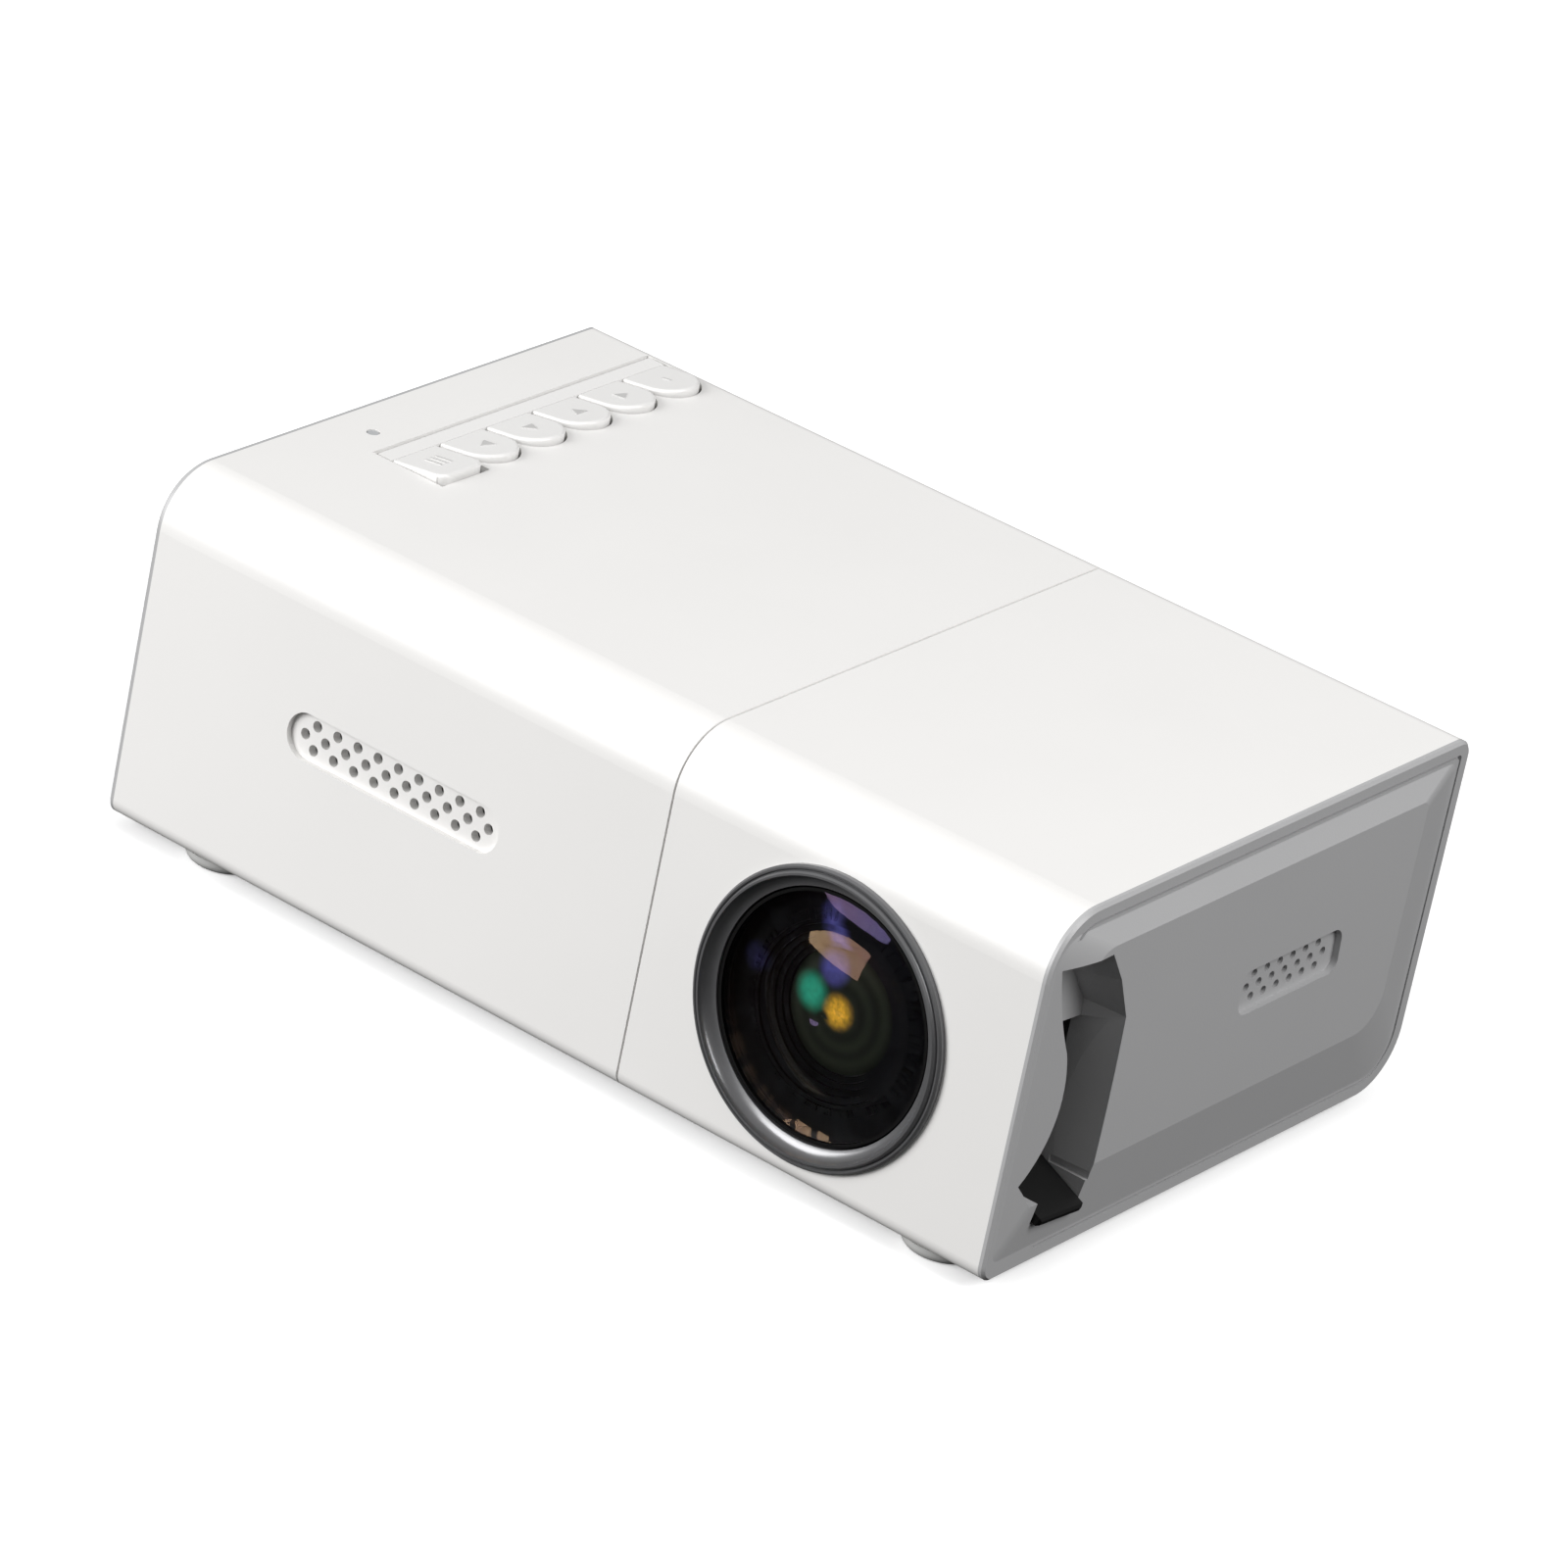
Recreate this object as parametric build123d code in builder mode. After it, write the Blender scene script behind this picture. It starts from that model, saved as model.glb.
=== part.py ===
"""Home projector: a leaning two-sleeve housing with an LED and LCD optical engine inside.

Millimetres. +Z is up, +X runs along the body towards the end with the focus lever, and
the lens looks towards -Y. The origin is on the table, under the middle of the housing.
"""

import os
from math import asin, atan2, cos, radians, sin

from build123d import *

os.makedirs("parts", exist_ok=True)

# ---- Housing ---------------------------------------------------------------------
body_length = 137.0  # between the rims of the two end covers
body_width = 78.0  # width of the top, between its sharp corners
body_height = 44.6  # from the underside to the top
foot_height = 1.6
slant = 4.0  # how far the underside stands forward of the top
wall = 2.0
big_round = 8.0  # top front and bottom rear corners
small_round = 2.0  # top rear and bottom front corners
seam_x = 13.9
seam_gap = 0.3
fit_gap = 0.15  # between pieces that plug into each other
cover_edge = 0.8  # thickness of an end cover's flange
cover_skirt = 5.0
field_rise = 1.5  # the middle of an end cover stands this far out of its rim
skirt_wall = 1.4

# ---- Lens and focus --------------------------------------------------------------
lens_x = 39.7
lens_drop = 24.2  # from the top edge down the front face to the lens axis
bezel_radius = 17.9
bezel_proud = 1.2
bezel_neck_radius = bezel_radius - 1.0
bezel_lip_radius = bezel_radius - 2.65
cup_radius = bezel_radius - 2.9  # front rim of the barrel
glass_radius = cup_radius - 0.4
cup_length = 3.1
cup_start = 0.5  # depth of the rim behind the front face
tube_radius = cup_radius - 3.0  # outside of the barrel behind its rim
slide_gap = 0.08  # running clearance
holder_wall = 1.5
ring_width = 8.0
ring_start = 6.4
ring_wall = 2.7
focus_turn = 40.0  # degrees of lever swing
helix_lead = 20.0  # barrel travel for one full turn of the ring
lever_rest_angle = -24.0  # below level at rest
lever_reach = 33.4  # lens axis to the lever's end
lever_thick = 1.2
lever_width = 8.0
pin_radius = 0.8

# ---- Keys ------------------------------------------------------------------------
key_count = 6
key_pitch = 8.4
key_width = key_pitch - 0.6
key_first_y = -7.4
key_root_x = -55.3
key_tip_x = -47.3
key_thick = 1.7
key_rise = 1.0  # height of a key's tip over the housing
key_travel_angle = 4.0
key_gap = 0.35
strip_start_x = -57.7
light_x = -62.2  # status light
light_y = -7.4

# ---- Grilles ---------------------------------------------------------------------
grille_pitch = 3.25
grille_row = 1.55
grille_hole = 0.7
grille_x = -26.4
grille_drop = 22.8
grille_depth = 0.8
vent_pitch = 2.45
vent_row = 1.5
vent_hole = 0.55
vent_y = 8.5
vent_z = 26.2

# ---- Electronics -----------------------------------------------------------------
board_thick = 1.6
board_z = 9.0  # underside of the main board
tray_thick = 1.6
jack_bore = 1.8
screw_radius = 1.2
screw_head_radius = 2.4
screw_head = 1.0
insert_radius = 4.0
insert_bore = 2.55
insert_length = 7.2
foot_radius = 5.5
fan_size = 25.0
fan_thick = 8.0
lcd_width = 33.0
lcd_height = 22.0

# ---- Worked out from the values above --------------------------------------------
top_z = foot_height + body_height
floor_z = foot_height + wall  # inside of the underside
ceiling_z = top_z - wall
lean = atan2(slant, body_height)
rim_x = body_length / 2
end_x = rim_x + field_rise
sleeve_end = rim_x - cover_edge
holder_radius = tube_radius + slide_gap + holder_wall
ring_bore = holder_radius + slide_gap
ring_radius = ring_bore + ring_wall
lever_depth = ring_start + ring_width / 2  # middle of the ring, behind the front face


def front_y(z):
    """Y of the outer front face at height z."""
    return -body_width / 2 + slant / 2 - (top_z - z) * slant / body_height


def rear_y(z):
    """Y of the outer rear face at height z."""
    return front_y(z) + body_width


def face_plane(x, drop, depth=0.0):
    """Plane on the front face, drop below the top edge, depth behind the face, facing out."""
    z = top_z - drop * cos(lean)
    face = Plane(
        origin=(x, front_y(z), z),
        x_dir=(1, 0, 0),
        z_dir=(0, -cos(lean), sin(lean)),
    )
    return face.offset(-depth)


def lens_plane(depth):
    """Plane square to the lens axis, depth behind the front face."""
    return face_plane(lens_x, lens_drop, depth)


lens_centre = lens_plane(0).origin
lens_out = lens_plane(0).z_dir
lens_axis = Axis(lens_centre, lens_out)
# Profile plane of everything turned about the lens axis: X is radius, Y points out of the lens.
lens_profile = Plane(origin=lens_centre, x_dir=(1, 0, 0), z_dir=(0, -sin(lean), -cos(lean)))


def section(inset=0.0):
    """The housing's leaning cross-section in (Y, Z), drawn inset inside the outer skin."""
    side = inset / cos(lean)
    low = foot_height + inset
    high = top_z - inset
    big = max(big_round - inset, 0.5)
    small = max(small_round - inset, 0.5)
    with BuildSketch() as shape:
        with BuildLine():
            FilletPolyline(
                (front_y(high) + side, high),
                (rear_y(high) - side, high),
                (rear_y(low) - side, low),
                (front_y(low) + side, low),
                radius=[big, small, big, small],
                close=True,
            )
        make_face()
    return shape.sketch


def finish(part, name, hue):
    """Labels a finished piece, gives it its display colour and writes it."""
    part.label = name
    part.color = Color(hue)
    export_step(part, f"parts/{name}.step")


def turned(points):
    """A closed (radius, depth) profile, ready to revolve about the lens axis."""
    with BuildSketch() as shape:
        with BuildLine():
            Polyline(*[(radius, -depth) for radius, depth in points], close=True)
        make_face()
    return shape.sketch


# Screw places on the underside: the tray's, the joining frame's and the two end covers'.
tray_screws = [(-52.0, -20.0), (-52.0, 20.0), (-4.0, -24.0), (-4.0, 24.0)]
frame_screws = [(10.4, -24.0), (10.4, 24.0), (17.4, -24.0), (17.4, 24.0)]
cover_screws = [(-63.2, -22.0), (-63.2, 22.0), (63.2, -14.0), (63.2, 26.0)]
screw_places = tray_screws + frame_screws + cover_screws
screw_length = 5.6
screw_pocket = screw_head + 0.2
feet_places = [(-54.0, -34.2), (58.5, -34.2), (-54.0, 29.0), (58.5, 29.0)]
insert_place = (-2.0, 0.0)

# Keys: centre of each tongue, the first one square and the rest round.
key_centres = [key_first_y + key_pitch * i for i in range(key_count)]
key_low = top_z - key_thick
strip_low_y = key_centres[0] - key_width / 2
strip_high_y = key_centres[-1] + key_width / 2
key_bosses = [(-44.6, strip_low_y + 3.3), (-44.6, strip_high_y - 5.5)]

# Sockets in the rear wall.
socket_back = 12.0  # how far the sockets reach in
rear_socket_y = rear_y(board_z + board_thick + 3.0) - 0.8
board_top = board_z + board_thick
hdmi_x = -7.2
hdmi_width = 15.0
hdmi_height = 5.8
usb_x = -24.2
usb_width = 14.4
usb_height = 7.0
av_x = -36.5
phones_x = -44.4
jack_side = 6.6
power_x = -54.0
power_side = 9.4
power_bore = 2.75
card_width = 14.0
card_height = 1.9
card_x = -24.2
socket_gap = 0.25
jack_z = board_top + jack_side / 2
power_z = board_top + power_side / 2

# Speaker behind the front grille.
speaker_width = 34.0
speaker_height = 13.0
speaker_frame_depth = 3.6


def grille_holes(columns, pitch, row):
    """Local places of a three-row staggered grille with columns holes in its middle row."""
    places = []
    for level in (-1, 0, 1):
        count = columns if level == 0 else columns - 1
        start = -(count - 1) * pitch / 2
        places += [(start + i * pitch, level * row) for i in range(count)]
    return places


front_columns = 10
vent_columns = 7
front_slot = (front_columns - 1) * grille_pitch + 4.4
front_slot_height = 2 * grille_row + 2.9
vent_slot = (vent_columns - 1) * vent_pitch + 4.4
vent_slot_height = 2 * vent_row + 2.8

# ---- Main sleeve: the long half of the housing, with the keys, grille and sockets ---
key_opening_low = ceiling_z - 1.0
with BuildPart() as main_sleeve:
    with BuildSketch(Plane.YZ.offset(-sleeve_end)):
        add(section())
        add(section(wall), mode=Mode.SUBTRACT)
    extrude(amount=sleeve_end + seam_x - seam_gap)
    # Bosses that the key board hangs from.
    with BuildSketch(Plane.XY.offset(ceiling_z - 4.2)):
        with Locations(*key_bosses):
            Circle(2.4)
            Circle(0.9, mode=Mode.SUBTRACT)
    extrude(amount=4.2)
    # Opening for the hinge strip and the six key tongues.
    with BuildSketch(Plane.XY.offset(key_opening_low)):
        with BuildSketch(mode=Mode.PRIVATE) as tongues:
            with Locations(((strip_start_x + key_root_x) / 2, (strip_low_y + strip_high_y) / 2)):
                Rectangle(key_root_x - strip_start_x + 0.6, strip_high_y - strip_low_y)
            for index, centre in enumerate(key_centres):
                reach = key_tip_x if index == 0 else key_tip_x - key_width / 2
                with Locations(((key_root_x + reach) / 2, centre)):
                    Rectangle(reach - key_root_x + 0.1, key_width)
                if index:
                    with Locations((reach, centre)):
                        Circle(key_width / 2)
        add(offset(tongues.sketch, amount=key_gap, kind=Kind.INTERSECTION, mode=Mode.PRIVATE))
    extrude(amount=top_z - key_opening_low + 1.0, mode=Mode.SUBTRACT)
    # Front grille: a shallow recess with staggered holes.
    with BuildSketch(face_plane(grille_x, grille_drop, grille_depth)):
        SlotOverall(front_slot, front_slot_height)
    extrude(amount=grille_depth + 1.0, mode=Mode.SUBTRACT)
    with BuildSketch(face_plane(grille_x, grille_drop, wall + 1.0)):
        with Locations(*grille_holes(front_columns, grille_pitch, grille_row)):
            Circle(grille_hole)
    extrude(amount=wall + 1.2, mode=Mode.SUBTRACT)
    # Status light hole.
    with BuildSketch(Plane.XY.offset(ceiling_z - 1.0)):
        with Locations((light_x, light_y)):
            Circle(0.85)
    extrude(amount=wall + 2.0, mode=Mode.SUBTRACT)
    # Socket openings through the rear wall.
    with BuildSketch(Plane.XZ.offset(-(rear_socket_y + 6.0))):
        with Locations((hdmi_x, board_top + hdmi_height / 2)):
            RectangleRounded(hdmi_width + 2 * socket_gap, hdmi_height + 2 * socket_gap, 0.6)
        with Locations((usb_x, board_top + usb_height / 2)):
            RectangleRounded(usb_width + 2 * socket_gap, usb_height + 2 * socket_gap, 0.6)
        with Locations((av_x, jack_z), (phones_x, jack_z)):
            Circle(jack_side / 2 - 0.3)
        with Locations((power_x, power_z)):
            Circle(power_side / 2 - 0.4)
        with Locations((card_x, board_z - card_height / 2)):
            Rectangle(card_width - 2.0, card_height - 0.5)
    extrude(amount=10.0, mode=Mode.SUBTRACT)
    # Underside: screws and the tripod insert.
    low_places = [p for p in screw_places if p[0] < seam_x]
    with BuildSketch(Plane.XY.offset(foot_height - 0.5)):
        with Locations(*low_places):
            Circle(screw_radius + 0.2)
        with Locations(insert_place):
            Circle(insert_radius + 0.1)
    extrude(amount=wall + 1.0, mode=Mode.SUBTRACT)
    with BuildSketch(Plane.XY.offset(foot_height - 0.5)):
        with Locations(*low_places):
            Circle(screw_head_radius + 0.2)
    extrude(amount=screw_pocket + 0.5, mode=Mode.SUBTRACT)
finish(main_sleeve.part, "main_sleeve", "white")

# ---- Lens sleeve: the short half, with the round opening for the lens -------------
with BuildPart() as lens_sleeve:
    with BuildSketch(Plane.YZ.offset(seam_x)):
        add(section())
        add(section(wall), mode=Mode.SUBTRACT)
    extrude(amount=sleeve_end - seam_x)
    with BuildSketch(lens_plane(wall + 1.0)):
        Circle(bezel_neck_radius + 0.1)
    extrude(amount=wall + 2.0, mode=Mode.SUBTRACT)
    high_places = [p for p in screw_places if p[0] > seam_x]
    with BuildSketch(Plane.XY.offset(foot_height - 0.5)):
        with Locations(*high_places):
            Circle(screw_radius + 0.2)
    extrude(amount=wall + 1.0, mode=Mode.SUBTRACT)
    with BuildSketch(Plane.XY.offset(foot_height - 0.5)):
        with Locations(*high_places):
            Circle(screw_head_radius + 0.2)
    extrude(amount=screw_pocket + 0.5, mode=Mode.SUBTRACT)
finish(lens_sleeve.part, "lens_sleeve", "white")

# ---- End covers -------------------------------------------------------------------
groove_inset = 1.7
groove_width = 0.35
groove_depth = 0.4
cover_plate = 1.6  # behind the flange
lug_top = floor_z + 6.0
lug_size = 6.0


def field_face(top_in, bottom_in, front_in, rear_in):
    """The raised field's four-sided outline, each side moved in from the housing's skin."""
    low = foot_height + bottom_in
    high = top_z - top_in
    with BuildSketch() as shape:
        with BuildLine():
            FilletPolyline(
                (front_y(high) + front_in, high),
                (rear_y(high) - rear_in, high),
                (rear_y(low) - rear_in, low),
                (front_y(low) + front_in, low),
                radius=[4.0, 1.0, 5.0, 1.0],
                close=True,
            )
        make_face()
    return shape.sketch


# The finger scoop beside the focus lever: its curved front edge, its foot, and its rear edge
# on the cover's face and on its floor, all as (Y, Z).
scoop_floor_x = rim_x - 4.2
scoop_front = [(-35.6, 40.2), (-34.8, 34.6), (-33.4, 29.4), (-33.4, 22.0), (-37.4, 13.4)]
scoop_foot = [(-35.4, 10.4), (-25.0, 10.4)]
scoop_mouth = [(-25.0, 11.4), (-24.0, 21.5), (-23.5, 31.0), (-25.6, 36.4), (-28.0, 40.4)]
scoop_floor = [(-25.4, 11.4), (-24.5, 21.5), (-24.0, 31.0), (-27.0, 35.6), (-29.6, 39.2)]


def scoop_outline(rear, grow=0.0):
    """The scoop's outline with this rear edge, grown all round."""
    with BuildSketch() as shape:
        with BuildLine():
            ThreePointArc(*scoop_front[:3])
            ThreePointArc(*scoop_front[2:])
            Polyline(scoop_front[-1], *scoop_foot, rear[0])
            ThreePointArc(rear[0], rear[1], rear[2])
            Polyline(rear[2], rear[3], rear[4], scoop_front[0])
        make_face()
        if grow:
            offset(amount=grow)
    return shape.sketch


def lever_sweep(clearance):
    """The flat fan that the lever sweeps about the lens axis, with room on both sides."""
    side = lever_thick / 2 + clearance
    corners = []
    for degrees, across in ((lever_rest_angle, -side), (lever_rest_angle + focus_turn, side)):
        turn = radians(degrees)
        for along in (ring_radius, 1.2 * lever_reach):
            corners.append((along * cos(turn) - across * sin(turn), along * sin(turn) + across * cos(turn)))
    with BuildSketch() as shape:
        Polygon(corners[0], corners[1], corners[3], corners[2], align=None)
    return shape.sketch


with BuildPart() as right_end_cover:
    with BuildSketch(Plane.YZ.offset(sleeve_end)):
        add(section())
    extrude(amount=cover_edge)
    chamfer(right_end_cover.edges().group_by(Axis.X)[-1], length=0.35)
    # Raised field, sloping up from the groove.
    with BuildSketch(Plane.YZ.offset(rim_x)):
        add(field_face(2.4, 2.4, 1.2, 2.6))
    with BuildSketch(Plane.YZ.offset(end_x)):
        add(field_face(4.8, 10.9, 6.2, 9.0))
    loft()
    # Skirt and inner plate that plug into the sleeve.
    with BuildSketch(Plane.YZ.offset(sleeve_end - cover_plate)):
        add(section(wall + fit_gap))
    extrude(amount=cover_plate)
    with BuildSketch(Plane.YZ.offset(sleeve_end - cover_skirt)):
        add(section(wall + fit_gap))
        add(section(wall + fit_gap + skirt_wall), mode=Mode.SUBTRACT)
    extrude(amount=cover_skirt)
    # Housing of the finger scoop behind the plate.
    with BuildSketch(Plane.YZ.offset(scoop_floor_x - 1.3)):
        add(scoop_outline(scoop_mouth, 1.2))
        add(section(wall + fit_gap), mode=Mode.INTERSECT)
    extrude(amount=end_x - scoop_floor_x - 1.0)
    # Lugs for the underside screws.
    with BuildSketch(Plane.XY.offset(floor_z + fit_gap)):
        with Locations(*[p for p in cover_screws if p[0] > 0]):
            Rectangle(lug_size, lug_size)
    extrude(amount=lug_top - floor_z)
    # The scoop and the lever's slot.
    with BuildSketch(Plane.YZ.offset(scoop_floor_x)):
        add(scoop_outline(scoop_floor))
    with BuildSketch(Plane.YZ.offset(end_x)):
        add(scoop_outline(scoop_mouth))
    loft(mode=Mode.SUBTRACT)
    with BuildSketch(lens_plane(lever_depth + lever_width / 2 + 0.3)):
        add(lever_sweep(0.4))
    extrude(amount=lever_width + 0.6, mode=Mode.SUBTRACT)
    # Decorative groove round the field.
    with BuildSketch(Plane.YZ.offset(rim_x - groove_depth)):
        add(section(groove_inset))
        add(section(groove_inset + groove_width), mode=Mode.SUBTRACT)
        with Locations((-body_width / 2, top_z / 2)):
            Rectangle(14.0, body_height - 2 * groove_inset - 1.0, mode=Mode.SUBTRACT)
    extrude(amount=groove_depth + field_rise, mode=Mode.SUBTRACT)
    # Vent.
    with BuildSketch(Plane.YZ.offset(end_x - 0.9)):
        with Locations((vent_y, vent_z)):
            RectangleRounded(vent_slot, vent_slot_height, 1.6)
    extrude(amount=1.0, mode=Mode.SUBTRACT)
    with BuildSketch(Plane.YZ.offset(sleeve_end - cover_plate - 1.0)):
        with Locations((vent_y, vent_z)):
            with Locations(*grille_holes(vent_columns, vent_pitch, vent_row)):
                Circle(vent_hole)
    extrude(amount=cover_plate + cover_edge + field_rise + 1.0, mode=Mode.SUBTRACT)
    # Screw holes in the lugs.
    with BuildSketch(Plane.XY.offset(floor_z - 1.0)):
        with Locations(*[p for p in cover_screws if p[0] > 0]):
            Circle(screw_radius + 0.05)
    extrude(amount=screw_length, mode=Mode.SUBTRACT)
finish(right_end_cover.part, "right_end_cover", "gray")

with BuildPart() as left_end_cover:
    with BuildSketch(Plane.YZ.offset(-sleeve_end - cover_edge)):
        add(section())
    extrude(amount=cover_edge)
    chamfer(left_end_cover.edges().group_by(Axis.X)[0], length=0.35)
    # Raised field, sloping up from the rim on all four sides.
    with BuildSketch(Plane.YZ.offset(-rim_x)):
        add(field_face(2.4, 2.4, 2.6, 2.6))
    with BuildSketch(Plane.YZ.offset(-end_x)):
        add(field_face(4.8, 10.9, 7.0, 7.0))
    loft()
    with BuildSketch(Plane.YZ.offset(-sleeve_end)):
        add(section(wall + fit_gap))
    extrude(amount=cover_plate)
    with BuildSketch(Plane.YZ.offset(-sleeve_end)):
        add(section(wall + fit_gap))
        add(section(wall + fit_gap + skirt_wall), mode=Mode.SUBTRACT)
    extrude(amount=cover_skirt)
    with BuildSketch(Plane.XY.offset(floor_z + fit_gap)):
        with Locations(*[p for p in cover_screws if p[0] < 0]):
            Rectangle(lug_size, lug_size)
    extrude(amount=lug_top - floor_z)
    # Room for the status light in the skirt.
    with BuildSketch(Plane.XY.offset(ceiling_z - 3.0)):
        with Locations((light_x + 1.0, light_y)):
            Rectangle(6.0, 4.0)
    extrude(amount=3.2, mode=Mode.SUBTRACT)
    with BuildSketch(Plane.YZ.offset(-rim_x)):
        add(section(groove_inset))
        add(section(groove_inset + groove_width), mode=Mode.SUBTRACT)
    extrude(amount=groove_depth, mode=Mode.SUBTRACT)
    with BuildSketch(Plane.YZ.offset(-end_x - 0.1)):
        with Locations((0, vent_z)):
            RectangleRounded(vent_slot, vent_slot_height, 1.6)
    extrude(amount=1.0, mode=Mode.SUBTRACT)
    with BuildSketch(Plane.YZ.offset(-end_x)):
        with Locations((0, vent_z)):
            with Locations(*grille_holes(vent_columns, vent_pitch, vent_row)):
                Circle(vent_hole)
    extrude(amount=cover_plate + cover_edge + field_rise + 0.5, mode=Mode.SUBTRACT)
    with BuildSketch(Plane.XY.offset(floor_z - 1.0)):
        with Locations(*[p for p in cover_screws if p[0] < 0]):
            Circle(screw_radius + 0.05)
    extrude(amount=screw_length, mode=Mode.SUBTRACT)
finish(left_end_cover.part, "left_end_cover", "gray")

# ---- Joining frame: a ring inside the seam that both sleeves screw to --------------
frame_half = 5.8
with BuildPart() as joining_frame:
    with BuildSketch(Plane.YZ.offset(seam_x - frame_half)):
        add(section(wall + fit_gap))
        add(section(wall + fit_gap + skirt_wall), mode=Mode.SUBTRACT)
    extrude(amount=2 * frame_half)
    with BuildSketch(Plane.XY.offset(floor_z + fit_gap)):
        with Locations(*frame_screws):
            Rectangle(4.4, lug_size)
    extrude(amount=lug_top - floor_z)
    with BuildSketch(Plane.XY.offset(floor_z - 1.0)):
        with Locations(*frame_screws):
            Circle(screw_radius + 0.05)
    extrude(amount=screw_length, mode=Mode.SUBTRACT)
finish(joining_frame.part, "joining_frame", "lightgray")

# ---- Base tray with the posts that carry the main board ----------------------------
tray_low = (-58.0, 6.6)
tray_y = (-31.0, 28.6)
tray_centre = ((tray_low[0] + tray_low[1]) / 2, (tray_y[0] + tray_y[1]) / 2)
tray_size = (tray_low[1] - tray_low[0], tray_y[1] - tray_y[0])
post_places = [(-50.0, -27.0), (-46.0, 20.4), (2.6, -26.5), (2.6, 20.4)]
with BuildPart() as base_tray:
    with BuildSketch(Plane.XY.offset(floor_z)):
        with Locations(tray_centre):
            RectangleRounded(*tray_size, 2.0)
        with Locations(insert_place):
            Circle(insert_radius + 0.02, mode=Mode.SUBTRACT)
    extrude(amount=tray_thick)
    with BuildSketch(Plane.XY.offset(floor_z + tray_thick)):
        with Locations(*post_places):
            Circle(2.6)
        with Locations(*tray_screws):
            Circle(2.6)
        with Locations(insert_place):
            Circle(insert_radius + 1.6)
            Circle(insert_radius + 0.02, mode=Mode.SUBTRACT)
    extrude(amount=board_z - floor_z - tray_thick - 0.3)
    with BuildSketch(Plane.XY.offset(floor_z + tray_thick)):
        with Locations(*post_places):
            Circle(2.6)
    extrude(amount=board_z - floor_z - tray_thick)
    with BuildSketch(Plane.XY.offset(floor_z - 0.1)):
        with Locations(*tray_screws):
            Circle(screw_radius + 0.05)
    extrude(amount=screw_length, mode=Mode.SUBTRACT)
    with BuildSketch(Plane.XY.offset(board_z - 3.4)):
        with Locations(*post_places):
            Circle(1.0)
    extrude(amount=3.5, mode=Mode.SUBTRACT)
finish(base_tray.part, "base_tray", "lightgray")

with BuildPart() as tripod_insert:
    with BuildSketch(Plane.XY.offset(foot_height)):
        with Locations(insert_place):
            Circle(insert_radius)
            Circle(insert_bore, mode=Mode.SUBTRACT)
    extrude(amount=insert_length)
finish(tripod_insert.part, "tripod_insert", "goldenrod")

with BuildPart() as housing_screws:
    with BuildSketch(Plane.XY.offset(foot_height + 0.2)):
        with Locations(*screw_places):
            Circle(screw_head_radius)
    extrude(amount=screw_head)
    with BuildSketch(Plane.XY.offset(foot_height + 0.2 + screw_head)):
        with Locations(*screw_places):
            Circle(screw_radius)
    extrude(amount=screw_length - 0.8)
    with BuildSketch(Plane.XY.offset(foot_height + 0.2)):
        with Locations(*screw_places):
            Rectangle(2.6, 0.5)
            Rectangle(0.5, 2.6)
    extrude(amount=0.6, mode=Mode.SUBTRACT)
finish(housing_screws.part, "housing_screws", "silver")

with BuildPart() as feet:
    with BuildSketch(Plane.XY.offset(foot_height)):
        with Locations(*feet_places):
            Circle(foot_radius)
    extrude(amount=-foot_height)
    fillet(feet.edges().group_by(Axis.Z)[0], radius=foot_height * 0.7)
finish(feet.part, "feet", "gainsboro")

# ---- Keys: six sprung tongues on one hinge strip -----------------------------------
with BuildPart() as key_strip:
    with BuildSketch(Plane.XY.offset(key_low)):
        with Locations(((strip_start_x + key_root_x - 0.1) / 2, (strip_low_y + strip_high_y) / 2)):
            Rectangle(key_root_x - 0.1 - strip_start_x, strip_high_y - strip_low_y)
    extrude(amount=key_thick)
    # Two legs clip the strip to the key board.
    with BuildSketch(Plane.XY.offset(key_low)):
        with Locations((strip_start_x + 1.2, strip_low_y + 2.0), (strip_start_x + 1.2, strip_high_y - 2.0)):
            Rectangle(1.6, 2.6)
    extrude(amount=-(key_low - ceiling_z + 4.2))
finish(key_strip.part, "key_strip", "white")

key_names = ["menu_key", "left_key", "down_key", "up_key", "right_key", "power_key"]
stem_x = -50.6
stem_drop = (stem_x - key_root_x) * sin(radians(key_travel_angle))
switch_top = key_low - 2.4
for index, (name, centre) in enumerate(zip(key_names, key_centres)):
    with BuildPart() as key:
        with BuildSketch(Plane.XY.offset(key_low)):
            reach = key_tip_x - 1.0 if index == 0 else key_tip_x - key_width / 2
            with Locations(((key_root_x + reach) / 2, centre)):
                Rectangle(reach - key_root_x, key_width)
            if index:
                with Locations((reach, centre)):
                    Circle(key_width / 2)
            else:
                with Locations((reach - 0.5, centre)):
                    RectangleRounded(3.0, key_width - 0.2, 1.4)
        extrude(amount=key_thick + key_rise + 1.0)
        # The top rises from flush at the hinge to its full height at the tip.
        slope = atan2(key_rise, key_tip_x - key_root_x)
        top = Plane(origin=(key_root_x, centre, top_z), x_dir=(0, 1, 0), z_dir=(-sin(slope), 0, cos(slope)))
        split(bisect_by=top, keep=Keep.BOTTOM)
        fillet(key.faces().sort_by(Axis.Z)[-1].edges().sort_by(Axis.X)[1:], radius=0.35)
        with BuildSketch(Plane.XY.offset(key_low)):
            with Locations((stem_x, centre)):
                Circle(1.1)
        extrude(amount=-(key_low - switch_top - stem_drop - 0.12))
    finish(key.part, name, "whitesmoke")

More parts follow.
